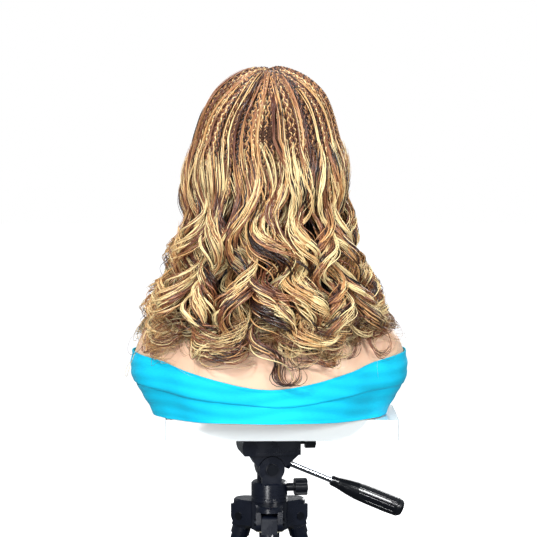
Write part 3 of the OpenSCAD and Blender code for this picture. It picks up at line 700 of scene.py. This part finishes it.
def hang(phi, height, lift):
    """Where hair hangs at a height and an angle: 0 is the back, + is the mannequin's right."""
    east, north = np.sin(phi), np.cos(phi)
    deep = np.where(north > 0, back_depth(height), FRONT_DEPTH)
    x = np.sign(east) * np.abs(east) ** 0.9 * (half_width(height) + lift)
    y = MIDDLE + np.sign(north) * np.abs(north) ** 0.85 * (deep - MIDDLE * (north > 0) + lift)
    return np.stack([LEAN - x, y, BASE + height + 0 * x], axis=-1)


def over_cap(phi, u, lift):
    """Where hair lies on the cap: u runs from 0 at the parting or the crown to 1 at the widest part."""
    away = np.abs(phi)
    lean = np.interp(away, [1.10, 2.10], [-0.30, 1.17])      # how far forward of the top the root sits
    root = np.stack([0.05 * np.sin(phi * 131), -np.sin(lean), np.cos(lean)], axis=-1)
    side = np.stack([-np.sin(phi), np.cos(phi), 0 * phi], axis=-1)
    root = root / np.linalg.norm(root, axis=-1, keepdims=True)
    turn = np.arccos(np.clip((root * side).sum(-1), -1, 1))[..., None]
    d = (np.sin((1 - u) * turn) * root + np.sin(u * turn) * side) / np.sin(turn)
    return np.stack([(CAP + lift) * d[..., 0],
                     0.002 + (CAP + lift) * d[..., 1] + 0.018 * np.tanh(3 * d[..., 1]),
                     SKULL + (CAP + lift) * d[..., 2]], axis=-1)


def crown_path(phi, start, lift, count):
    """Points from the root to the widest part of the head; rows are strands."""
    u = start[:, None] + (1 - start[:, None]) * np.linspace(0, 1, count)[None, :]
    angle = np.repeat(phi[:, None], count, axis=1)
    rise = smooth(u - start[:, None], -0.09, 0.06)
    on_cap = over_cap(angle, u[..., None], lift[:, None] * rise)
    free = hang(angle, on_cap[..., 2] - BASE, lift[:, None] - 0.011)
    share = smooth(u, 0.45, 1.0)[..., None]
    return on_cap * (1 - share) + free * share


print("outline: half width", round(float(half_width(0.28)), 3), "m at the ears,",
      round(float(half_width(0.10)), 3), "m over the shoulders")

# %% [markdown]
# ## Ribbons from paths
# A strand that is flat on the outside and thin covers more for the same faces, as a real lock of fibres
# does. All ribbons of a piece are written at once as arrays, with a tone and a share of painted shade for
# each strand and a UV strip of its own, so that a texture bake keeps the strands apart.

# %% Closed ribbons along many paths


def outward(points):
    heart = np.stack([0 * points[..., 0], 0 * points[..., 0] + MIDDLE,
                      np.minimum(points[..., 2], SKULL - 0.01)], axis=-1)
    away = points - heart
    return away / np.linalg.norm(away, axis=-1, keepdims=True)


def unit(v):
    return v / np.maximum(np.linalg.norm(v, axis=-1, keepdims=True), 1e-9)


def ribbons(name, paths, wide, thick, tint, material, sides=3, taper=True, roll=None):
    """paths is (strands, points, 3); wide and thick are half sizes per strand; tint is (strands, 2)."""
    count, steps = paths.shape[:2]
    along = np.linspace(0, 1, steps)
    tangent = unit(np.gradient(paths, axis=1))
    side = unit(np.cross(tangent, outward(paths)))
    normal = unit(np.cross(side, tangent))
    if roll is not None:
        c, s = np.cos(roll)[..., None], np.sin(roll)[..., None]
        side, normal = side * c + normal * s, normal * c - side * s
    narrow = np.ones(steps)
    if taper:
        narrow = (0.35 + 0.65 * smooth(along, 0, 0.08)) * (1 - 0.85 * smooth(along, 0.72, 1.0))
    rings = []
    for j in range(sides):
        a = math.pi / 2 + 2 * math.pi * j / sides
        rings.append(paths + side * (wide[:, None] * narrow)[..., None] * math.cos(a)
                     + normal * (thick[:, None] * narrow)[..., None] * math.sin(a))
    points = np.stack(rings, axis=2).reshape(-1, 3)
    # quads of one strand, then of all strands
    i, j = np.meshgrid(np.arange(steps - 1), np.arange(sides), indexing="ij")
    quad = np.stack([i * sides + j, (i + 1) * sides + j, (i + 1) * sides + (j + 1) % sides,
                     i * sides + (j + 1) % sides], axis=-1).reshape(-1, 4)
    strip = np.stack([j / sides, j / sides, (j + 1) / sides, (j + 1) / sides], axis=-1).reshape(-1, 4)
    level = np.stack([i, i + 1, i + 1, i], axis=-1).reshape(-1, 4) / (steps - 1)
    first = (np.arange(count) * steps * sides)[:, None]
    quads = (quad.reshape(1, -1) + first).ravel()
    caps = np.concatenate([np.arange(sides), (steps - 1) * sides + np.arange(sides)[::-1]])
    caps = (caps[None, :] + first).ravel()
    loops = np.concatenate([quads, caps])
    sizes = np.concatenate([np.full(count * len(quad), 4), np.full(count * 2, sides)])
    mesh = bpy.data.meshes.new(name)
    mesh.vertices.add(len(points))
    mesh.vertices.foreach_set("co", points.astype(np.float32).ravel())
    mesh.loops.add(len(loops))
    mesh.loops.foreach_set("vertex_index", loops.astype(np.int32))
    mesh.polygons.add(len(sizes))
    mesh.polygons.foreach_set("loop_start", (np.cumsum(sizes) - sizes).astype(np.int32))
    mesh.update(calc_edges=True)
    mesh.polygons.foreach_set("use_smooth", np.ones(len(sizes), dtype=bool))
    u = (np.arange(count)[:, None] + 0.12 + 0.76 * strip.reshape(1, -1)) / count
    v = np.repeat(level.reshape(1, -1), count, axis=0)
    cap_u = np.repeat((np.arange(count)[:, None] + 0.5) / count, 2 * sides, axis=1)
    cap_v = np.repeat(np.concatenate([np.zeros(sides), np.ones(sides)])[None, :], count, axis=0)
    uv = np.concatenate([np.stack([u, v], -1).reshape(-1, 2), np.stack([cap_u, cap_v], -1).reshape(-1, 2)])
    mesh.uv_layers.new(name="OFBake").data.foreach_set("uv", uv.astype(np.float32).ravel())
    shade = np.ones((count, steps, sides, 4), dtype=np.float32)
    shade[..., 0] = tint[:, 0][:, None, None]
    shade[..., 1] = along[None, :, None]
    # blue: the strand's share of light; below 1 the strand gets painted shade
    shade[..., 2] = tint[:, 1][:, None, None]
    mesh.color_attributes.new("Tint", "FLOAT_COLOR", "POINT").data.foreach_set("color", shade.ravel())
    mesh.materials.append(material)
    piece = bpy.data.objects.new(name, mesh)
    bpy.context.scene.collection.objects.link(piece)
    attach(piece, "bust")
    print(f"{name}: {count} strands, {count * (steps - 1) * sides * 2} triangles")
    return piece


def hair_finish(name, gloss, root_shade=0.0):
    """Fibre colour from dark brown through auburn and honey to pale blonde, one tone to a strand, with
    painted shade on the inner layers and at the roots.
    """
    finish = Finish(name, specular_ior_level=0.75)
    tint = finish.node("Attribute", {"attribute_name": "Tint"})
    tone, along, depth = finish.parts(tint)
    streak = finish.noise(1.0, 2.0, 0.5, finish.stretched(520, 520, 30))
    patch = finish.noise(28.0, 2.0)
    level = tone * 1.25 - 0.14 + (streak - 0.5) * 0.34 + (patch - 0.5) * 0.25
    # painted shade at the roots: the first part of each strand is darkened
    level = level - (1 - finish.soft_step(along, 0.05, 0.42)) * root_shade
    fibre = finish.ramp(level, [(0.0, colour(34, 16, 12)), (0.25, colour(106, 58, 42)),
                                (0.5, colour(172, 116, 78)), (0.72, colour(224, 172, 110)),
                                (1.0, colour(252, 228, 170))])
    # painted shade: the colour goes towards near black as the share of light in the Tint's blue channel falls
    finish.set("Base Color", finish.mix(depth, colour(16, 7, 5), fibre))
    finish.set("Roughness", streak * 0.16 + gloss)
    finish.bump(streak, 0.0001)
    return finish.material


HAIR = hair_finish("loose_hair", 0.22)
# the last number is the painted shade at the roots
STREAK = hair_finish("unplaited_hair", 0.22, 0.34)
PLAIT = hair_finish("plaited_hair", 0.24, 0.10)

# %% Lashes, fanned along the upper lids


def lash_paths(number):
    """Short hairs that leave the lid forwards and curl up."""
    paths = []
    for side in (-1, 1):
        for t in np.linspace(-1, 1, number):
            across = 0.0112 * t
            edge = math.sqrt(0.0221 ** 2 - across ** 2) - 0.0188
            out = np.array([0.35 * t, -1.0, 0.10 + 0.25 * (1 - t * t)])
            base = np.array([across, -math.sqrt(0.0128 ** 2 - across ** 2 * 0.8 - edge ** 2), edge])
            length = 0.0062 + 0.0016 * t + draw.uniform(-0.0005, 0.0005)
            k = np.linspace(0, 1, 7)[:, None]
            path = base + out / np.linalg.norm(out) * length * k + np.array([0, 0, 0.0034]) * k ** 2
            placed = (path + np.array([0, EYE[1], EYE[2]])) * (side, 1, 1)
            paths.append(placed + np.array([side * EYE[0], 0, 0]))
    return np.array(paths)


def lashes():
    finish = Finish("lash_fibre", roughness=0.5, specular_ior_level=0.3)
    finish.set("Base Color", colour(14, 10, 9))
    paths = lash_paths(30)
    thin = np.full(len(paths), 0.00022)
    piece = ribbons("lash_hairs", paths, thin, thin, np.ones((len(paths), 2)), finish.material)
    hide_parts("eyelashes")


lashes()

# %% [markdown]
# ## Plaits
# Three bundles cross over each other: each one swings from side to side while it rises and falls twice as
# often, a third of a turn apart. That rule makes the herringbone that a plait shows.

# %% Plaits over the crown
LIMIT = 2.08                       # how far round to the face the hair is rooted, in radians
PITCH, PLAIT_HALF = 0.0115, 0.0015
CROWN_STEPS = 26                   # points from a plait's root to the widest part of the head


def even_paths(paths, count):
    """The same paths with points evenly spaced along them."""
    gaps = np.linalg.norm(np.diff(paths, axis=1), axis=2)
    run = np.concatenate([np.zeros((len(paths), 1)), np.cumsum(gaps, axis=1)], axis=1)
    out = np.empty((len(paths), count, 3))
    for k in range(len(paths)):
        at = np.linspace(0, run[k, -1], count)
        for axis in range(3):
            out[k, :, axis] = np.interp(at, run[k], paths[k, :, axis])
    return out, run[:, -1]


ROWS = [(59, 0.02, 0.0085, 0.0), (65, 0.18, 0.0062, 0.0), (67, 0.40, 0.0040, 0.0), (51, 0.64, 0.0022, 0.0),
        (44, 0.02, 0.0074, 1.15)]   # plaits, where they root, lift, and how far from the back they begin


def plait_cores():
    """(angle, root, lift, end height, row) of every plait, the ones rooted highest lying on top."""
    found = []
    for row, (number, start, lift, nearest) in enumerate(ROWS):
        spread = np.linspace(nearest - LIMIT, LIMIT - nearest, number)
        spread = spread + np.sign(spread) * nearest + draw.uniform(-0.018, 0.018, number)
        for phi in spread:
            found.append((phi, start + draw.uniform(0, 0.10) * (nearest == 0),
                          lift + draw.uniform(-0.0006, 0.0008), draw.uniform(0.255, 0.305), row))
    return np.array(found)


plaits = plait_cores()


def plait_paths():
    phi, start, lift, end = plaits[:, :4].T
    top = crown_path(phi, start, lift, CROWN_STEPS)
    t = np.linspace(0, 1, 9)[None, 1:]
    z0 = top[:, -1, 2] - BASE
    down = hang(phi[:, None] + 0 * t, z0[:, None] + (end - z0)[:, None] * t, lift[:, None] - 0.011)
    return np.concatenate([top, down], axis=1)


def make_plaits():
    cores = plait_paths()
    tones = np.clip(draw.normal(0.44, 0.20, len(plaits)), 0.05, 0.95)
    for row in range(len(ROWS)):
        chosen = np.where(plaits[:, 4] == row)[0]
        length = even_paths(cores[chosen], 60)[1]
        count = int(length.mean() / 0.00145)
        core, length = even_paths(cores[chosen], count)
        tangent = unit(np.gradient(core, axis=1))
        side = unit(np.cross(tangent, outward(core)))
        normal = unit(np.cross(side, tangent))
        run = np.linspace(0, 1, count)[None, :] * length[:, None] / PITCH * 2 * math.pi
        run = run + draw.uniform(0, 6.28, len(chosen))[:, None]
        bundles, tints = [], []
        for j in range(3):
            turn = run + 2 * math.pi * j / 3
            bundles.append(core + side * (np.sin(turn) * PLAIT_HALF)[..., None]
                           + normal * (np.sin(2 * turn) * 0.55 * PLAIT_HALF)[..., None])
            # the second column is painted shade: the lower a plait lies on the cap, the darker it is painted
            tints.append(np.stack([tones[chosen] + (-0.24, 0.02, 0.30)[j] + draw.normal(0, 0.08, len(chosen)),
                                   0.50 + 50 * plaits[chosen, 2]], -1))
        paths = np.concatenate(bundles)
        size = np.full(len(paths), 0.00100)
        piece = ribbons(f"plaits_row_{row + 1}", paths, size, size * 0.8, np.concatenate(tints), PLAIT,
                        taper=False)
        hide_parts("hair_braids")


make_plaits()

# %% [markdown]
# ## Loose hair and curls
# Below the ears the plaits are combed out. Neighbouring hair falls in with the same curl, so the strands are
# sorted into clumps, and all strands of a clump swing together, each a little early or late. A strand is
# drawn by its heading: it swings about straight down, more and more, and turns right round at its end.

# %% Clumps, and the heading of every strand in them
# the outer clumps across the back: angle, how low the tip hangs, the way it curls and how far round it ends
BACK_CURLS = [(-1.36, 0.086, 1, 2.3), (-0.98, 0.102, -1, 2.8), (-0.60, 0.085, 1, 2.6),
              (-0.24, 0.083, -1, 2.2), (0.06, 0.088, 1, 2.6), (0.34, 0.097, 1, 2.3),
              (0.66, 0.098, -1, 2.6), (1.00, 0.108, 1, 2.7), (1.36, 0.113, -1, 2.3)]
# single locks that hang lower than the rest
TAILS = [(0.03, 0.052, 1, 3.4), (0.60, 0.068, -1, 2.6), (-1.22, 0.072, 1, 1.2), (0.28, 0.080, 1, 3.0)]


def clump_table():
    """One row a clump: angle, inset, hand, phase, wave, swing, end turn, tip height."""
    rows = []
    for phi, tip, hand, end_turn in BACK_CURLS:
        rows.append((phi, 0.0, hand, draw.uniform(0, 2 * math.pi), draw.uniform(0.115, 0.165),
                     draw.uniform(0.62, 0.90), end_turn, tip))
    for phi, tip in ((-2.00, 0.070), (-1.68, 0.100), (1.68, 0.106), (2.00, 0.070)):
        rows.append((phi, 0.0, np.sign(phi), draw.uniform(0, 2 * math.pi), 0.125, 0.85, 2.8, tip))
    for number, inset, turn in ((11, 0.011, 0.10), (8, 0.022, 0.0)):
        for k, phi in enumerate(np.linspace(-LIMIT + 0.06, LIMIT - 0.06, number)):
            rows.append((phi + turn + draw.uniform(-0.05, 0.05), inset, (-1) ** k,
                         draw.uniform(0, 2 * math.pi), draw.uniform(0.105, 0.145),
                         draw.uniform(0.62, 0.95), draw.uniform(1.9, 2.9), draw.uniform(0.088, 0.112)))
    for phi, tip, hand, end_turn in TAILS:
        rows.append((phi, -0.002, hand, draw.uniform(0, 2 * math.pi), 0.13, 0.85, end_turn, tip))
    return np.array(rows)


clumps = clump_table()
LAYERS = ((0, 13), (13, 24), (24, 32))
CURL_STEPS = 58
WIDEST = 0.330                     # height of the widest part of the head over the bust's underside
HALF_CLUMP = 0.22                  # half the angle that one clump takes in, in radians
HOOK = 0.095                       # the end of a strand that turns right round


def habits(locks, per, wild=1.0):
    """How each lock differs from its clump: phase, size of its waves, lift, tip height and end turn."""
    spread = np.array([0.36, 0.18, 0.0022, 0.010, 0.25]) * wild
    middle = np.array([0.0, 1.0, 0.0, 0.0, 1.0])
    lock = np.repeat(draw.normal(0, 1, (locks, 5)) * spread, per, axis=0)
    fibre = draw.normal(0, 1, (locks * per, 5)) * spread * (0.16, 0.20, 0.25, 0.22, 0.20)
    return (middle + lock + fibre).T


def curl_paths(phi, lift, clump, top_height, own_habits, length):
    """Loose hair from a height downwards; every argument has one value a strand."""
    centre, inset, hand, phase, wave, swing, end_turn, tip = clumps[clump].T
    stray, size, rise, low_tip, twist = own_habits
    n = len(phi)
    s = np.linspace(0, 1, CURL_STEPS)[None, :] * length[:, None]
    fallen = (WIDEST - top_height)[:, None] + s                    # distance below the widest part
    place = np.clip((phi - centre) / HALF_CLUMP, -1.5, 1.5)              # the strand's place across its clump
    grow = 0.22 + 0.78 * smooth(fallen, 0.03, 0.19)
    swing_now = (swing * size)[:, None] * grow
    turn = 2 * math.pi * (fallen / wave[:, None] + 0.7 * (fallen / 0.30) ** 2)
    turn = turn + (phase + 0.9 * place + stray)[:, None]
    heading = swing_now * np.sin(turn)
    last = np.clip((s - length[:, None] + HOOK) / HOOK, 0, 1)
    heading = heading + (hand * end_turn * twist)[:, None] * last ** 1.4
    step = (length / (CURL_STEPS - 1))[:, None]
    across = np.cumsum(np.sin(heading), axis=1) * step
    across = across - across[:, :1]
    drop = np.cumsum(np.cos(heading), axis=1) * step
    drop = drop - drop[:, :1]
    reach = drop.max(axis=1, keepdims=True)
    end = np.maximum(tip + low_tip, 0.048)[:, None]
    height = top_height[:, None] - drop / reach * (top_height[:, None] - end)
    own = (phi - centre)[:, None] * half_width(height)
    gather = 1 - 0.56 * smooth(fallen, 0.03, 0.20)
    angle = centre[:, None] + (own * gather + across) / half_width(height)
    low = smooth(fallen, 0.03, 0.19)
    rounded = 0.012 * (1 - np.clip(np.abs(own * gather) / 0.024, 0, 1) ** 2) * low
    barrel = hand[:, None] * 0.011 * size[:, None] * grow * np.sin(turn)
    out = (lift - 0.005)[:, None] * (1 - 0.5 * low) - inset[:, None] + rounded + barrel
    out = out + (rise[:, None] - 0.017) * low
    fuzz = sum(np.sin(s * f + draw.uniform(0, 6.28, n)[:, None]) * a
               for f, a in ((60, 0.0009), (140, 0.0004)))
    return hang(angle + fuzz / 0.1, height, out + fuzz * 0.6)


def off_the_body(paths, gap):
    """Pushes points out of the shoulders and the neck."""
    flat = paths.reshape(-1, 3)
    room = np.repeat(gap, paths.shape[1])
    low = np.where(flat[:, 2] < BASE + 0.24)[0]
    for _ in range(3):
        near = melt(neck(flat[low]), torso(flat[low]), 0.035)
        sunk = np.where(near < room[low])[0]
        where = low[sunk]
        push = slope_of(lambda p: melt(neck(p), torso(p), 0.035), flat[where])
        flat[where] += push * (room[where] - near[sunk])[:, None]
    return flat.reshape(paths.shape)


def nearest_clump(phi, layer):
    """The clump of a layer (0 outside, 2 inside) whose middle is nearest."""
    first, last = LAYERS[layer]
    return first + np.abs(phi[:, None] - clumps[None, first:last, 0]).argmin(axis=1)


def tones_of_locks(locks, per):
    """Mostly auburn and honey, with pale and dark locks, and a few odd fibres in each."""
    steps = np.array([0.08, 0.38, 0.64, 0.94])
    lock = steps[draw.choice(4, locks, p=[0.15, 0.33, 0.27, 0.25])]
    odd = steps[draw.choice(4, locks * per, p=[0.2, 0.3, 0.2, 0.3])]
    tone = np.where(draw.random(locks * per) < 0.22, odd, np.repeat(lock, per))
    return np.clip(tone + draw.normal(0, 0.06, locks * per), 0, 1)


PER_LOCK = 9
# share of light of the outer, middle and inner layers: the inner layers get painted shade
LIT_SHARE_OF_LAYERS = np.array([1.0, 0.48, 0.20])


def lengths_from_plaits():
    locks = len(plaits)
    phi = np.repeat(plaits[:, 0], PER_LOCK) + draw.normal(0, 0.026, locks * PER_LOCK)
    layer = np.repeat(np.select([plaits[:, 2] > 0.005, plaits[:, 2] > 0.003], [0, 1], 2), PER_LOCK)
    lift = np.repeat(plaits[:, 2], PER_LOCK) + draw.normal(0, 0.0012, len(phi)) - 0.001
    top = np.repeat(plaits[:, 3], PER_LOCK) + draw.uniform(0.0, 0.03, len(phi))
    clump = np.select([layer == k for k in range(3)], [nearest_clump(phi, k) for k in range(3)])
    length = top + 0.030 + np.repeat(draw.normal(0, 0.012, locks), PER_LOCK) + draw.normal(0, 0.004, len(phi))
    paths = curl_paths(phi, lift, clump, top, habits(locks, PER_LOCK), length)
    paths = off_the_body(paths, 0.0022 + 0.003 * (2 - layer) + draw.uniform(0, 0.003, len(phi)))
    return phi, paths, np.stack([tones_of_locks(locks, PER_LOCK), LIT_SHARE_OF_LAYERS[layer]], -1)


phi, paths, tint = lengths_from_plaits()
order = np.argsort(phi)
back = np.abs(phi) <= 1.5
pieces = [("lengths_right", "hair_right", np.where(phi > 1.5)[0]),
          ("lengths_left", "hair_left", np.where(phi < -1.5)[0])]
for k, part in enumerate(np.array_split(order[back[order]], 4)):
    pieces.append((f"lengths_back_{k + 1}", "hair_back", part))
for name, node, chosen in pieces:
    wide = draw.uniform(0.00050, 0.00115, len(chosen))
    roll = draw.normal(0, 0.35, (len(chosen), 1)) * np.ones((1, CURL_STEPS))
    piece = ribbons(name, paths[chosen], wide, wide * 0.42, tint[chosen], HAIR, roll=roll)
    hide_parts(node)

# %% [markdown]
# Some hair was never plaited. It starts at the parting, lies over the plaits as pale streaks, and joins the
# curls below. A few hairs stand off at the sides, as they do on any worn wig, and wide ribbons underneath
# stand for the hair that can't be seen singly; their dark colour is painted shade.

# %% Streaks from the crown, an undercoat, and flyaway hairs


def crown_streaks(locks, per):
    number = locks * per
    phi = np.repeat(np.sort(draw.uniform(-LIMIT, LIMIT, locks)), per) + draw.normal(0, 0.010, number)
    start = np.repeat(draw.uniform(0.04, 0.75, locks), per) + draw.uniform(0, 0.03, number)
    lift = np.repeat(draw.uniform(0.0095, 0.0120, locks), per) + draw.normal(0, 0.0005, number)
    top = crown_path(phi, start, lift, 18)
    height = top[:, -1, 2] - BASE
    down = curl_paths(phi, lift + 0.001, nearest_clump(phi, 0), height, habits(locks, per, 1.6),
                      height + 0.030 + draw.normal(0, 0.008, number))
    fade = 1 - smooth(np.linspace(0, 1, CURL_STEPS), 0, 0.35)
    shift = (top[:, -1:, :] - down[:, :1, :]) * fade[None, :, None]
    down = off_the_body(down + shift, np.full(number, 0.010))
    paths = np.concatenate([top, down[:, 1:]], axis=1)
    tone = np.clip(tones_of_locks(locks, per) + 0.12, 0, 1)
    wide = draw.uniform(0.0004, 0.0009, number)
    return ribbons("crown_streaks", paths, wide, wide * 0.4, np.stack([tone, np.ones(number)], -1), STREAK)


def tail_locks(per):
    """Single locks that have slipped below the rest, each ending in a hook."""
    first = LAYERS[-1][1]
    clump = np.repeat(np.arange(len(TAILS)) + first, per)
    number = len(clump)
    phi = clumps[clump, 0] + draw.normal(0, 0.035, number)
    top = draw.uniform(0.20, 0.24, number)
    lift = np.full(number, 0.010)
    paths = curl_paths(phi, lift, clump, top, habits(len(TAILS), per, 0.5),
                       top + 0.045 + draw.normal(0, 0.006, number))
    paths = off_the_body(paths, draw.uniform(0.003, 0.007, number))
    tint = np.stack([np.clip(tones_of_locks(len(TAILS), per) + 0.1, 0, 1), np.ones(number)], -1)
    wide = draw.uniform(0.0005, 0.0010, number)
    return ribbons("tail_locks", paths, wide, wide * 0.42, tint, HAIR)


def undercoat(number):
    phi = np.linspace(-LIMIT - 0.02, LIMIT + 0.02, number)
    start = np.full(number, 0.30)
    lift = np.full(number, 0.0005)
    top = crown_path(phi, start, lift, 14)
    t = np.linspace(0, 1, 26)[None, 1:]
    z0 = top[:, -1, 2] - BASE
    end = draw.uniform(0.085, 0.12, number)
    sway = 0.05 * np.sin(t * 9 + phi[:, None] * 5) * t
    down = hang(phi[:, None] + sway, z0[:, None] + (end - z0)[:, None] * t, lift[:, None] - 0.020 - 0.014 * t)
    paths = off_the_body(np.concatenate([top, down], axis=1), np.full(number, 0.002))
    # painted shade: a share of light of 0.12 makes these ribbons mostly the dark shade colour
    tint = np.stack([draw.uniform(0.05, 0.3, number), np.full(number, 0.12)], -1)
    return ribbons("hair_undercoat", paths, np.full(number, 0.0032), np.full(number, 0.0006), tint, HAIR)


def flyaways(number):
    phi = draw.choice([-1, 1], number) * draw.uniform(1.1, 1.9, number)
    lift = draw.uniform(0.004, 0.012, number)
    top = draw.uniform(0.20, 0.29, number)
    paths = curl_paths(phi, lift, nearest_clump(phi, 1), top, habits(number, 1, 1.8),
                       top + 0.01 + draw.normal(0, 0.02, number))
    far = smooth(np.linspace(0, 1, CURL_STEPS), 0.15, 0.8)[None, :, None]
    paths = paths + outward(paths) * far * draw.uniform(0.0, 0.012, number)[:, None, None]
    paths = off_the_body(paths, np.full(number, 0.009))
    wide = np.full(number, 0.00028)
    tint = np.stack([draw.uniform(0.3, 0.9, number), np.ones(number)], -1)
    return ribbons("flyaway_hairs", paths, wide, wide, tint, HAIR)


for piece in (crown_streaks(36, 7), tail_locks(16), undercoat(150), flyaways(60)):
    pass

# %% [markdown]
# ## The pale studio and the camera
# The bust stands on a plain pale floor that runs out of sight. The camera looks at its back from a little
# above, through a long lens, so the lines stay straight.

# %% Camera, floor and lights


def aim(thing, target):
    thing.rotation_euler = (Vector(target) - thing.location).to_track_quat("-Z", "Y").to_euler()


def camera():
    data = bpy.data.cameras.new("camera")
    data.sensor_width, data.lens = 36.0, 123.0
    data.clip_start, data.clip_end = 0.05, 100.0
    eye = bpy.data.objects.new("camera", data)
    bpy.context.scene.collection.objects.link(eye)
    eye.location = (0.0, 2.2, 0.87)
    aim(eye, (0.001, 0.0, 0.698))
    bpy.context.scene.camera = eye


def floor():
    clear_selection()
    bpy.ops.mesh.primitive_circle_add(vertices=64, radius=14.0, fill_type="NGON", location=(0, 0, 0))
    ground = bpy.context.object
    ground.name = "floor"
    finish = Finish("pale_floor", roughness=0.9, specular_ior_level=0.2, emission_strength=0.75)
    finish.set("Base Color", finish.mix(finish.noise(0.7, 2.0), colour(246, 246, 247), colour(252, 252, 253)))
    finish.set("Emission Color", (1.0, 1.0, 1.0, 1.0))
    ground.data.materials.append(finish.material)
    ground.visible_glossy = ground.visible_diffuse = False        # white to the eye, and no glare from below


def lamp(name, place, size, power, target=(0, 0, 0.7), tint=(1.0, 1.0, 1.0)):
    data = bpy.data.lights.new(name, "AREA")
    data.shape, data.size, data.energy, data.color = "DISK", size, power, tint
    light = bpy.data.objects.new(name, data)
    bpy.context.scene.collection.objects.link(light)
    light.location = place
    aim(light, target)


def studio():
    """A white room: it is seen as pure white, and lights the scene from above more than from below."""
    world = bpy.data.worlds.new("studio")
    world.use_nodes = True
    nodes, links = world.node_tree.nodes, world.node_tree.links
    seen, lights, either, path, where, split, ramp = (nodes.new("ShaderNode" + kind) for kind in (
        "Background", "Background", "MixShader", "LightPath", "TexCoord", "SeparateXYZ", "MapRange"))
    seen.inputs[0].default_value = (1.0, 1.0, 1.0, 1.0)
    lights.inputs[0].default_value = (0.90, 0.95, 1.0, 1.0)
    links.new(where.outputs["Generated"], split.inputs[0])
    links.new(split.outputs[2], ramp.inputs[0])
    for socket, value in zip(list(ramp.inputs)[1:5], (-0.35, 0.75, 0.09, 0.44)):
        socket.default_value = value
    links.new(ramp.outputs[0], lights.inputs[1])
    links.new(path.outputs["Is Camera Ray"], either.inputs[0])
    links.new(lights.outputs[0], either.inputs[1])
    links.new(seen.outputs[0], either.inputs[2])
    links.new(either.outputs[0], nodes["World Output"].inputs[0])
    bpy.context.scene.world = world


camera()
floor()
studio()
bpy.context.scene.view_settings.view_transform = "Standard"
lamp("key", (0.9, 1.9, 1.9), 0.30, 46.0)
lamp("fill", (-1.3, 1.7, 1.2), 0.5, 26.0)
lamp("top", (0.1, 0.2, 2.2), 0.7, 12.0)
lamp("front", (-0.8, -1.9, 1.4), 1.4, 26.0)
lamp("low", (0.5, 2.3, 0.35), 0.8, 24.0, target=(0, 0, 0.42))
print("camera and lights are set")
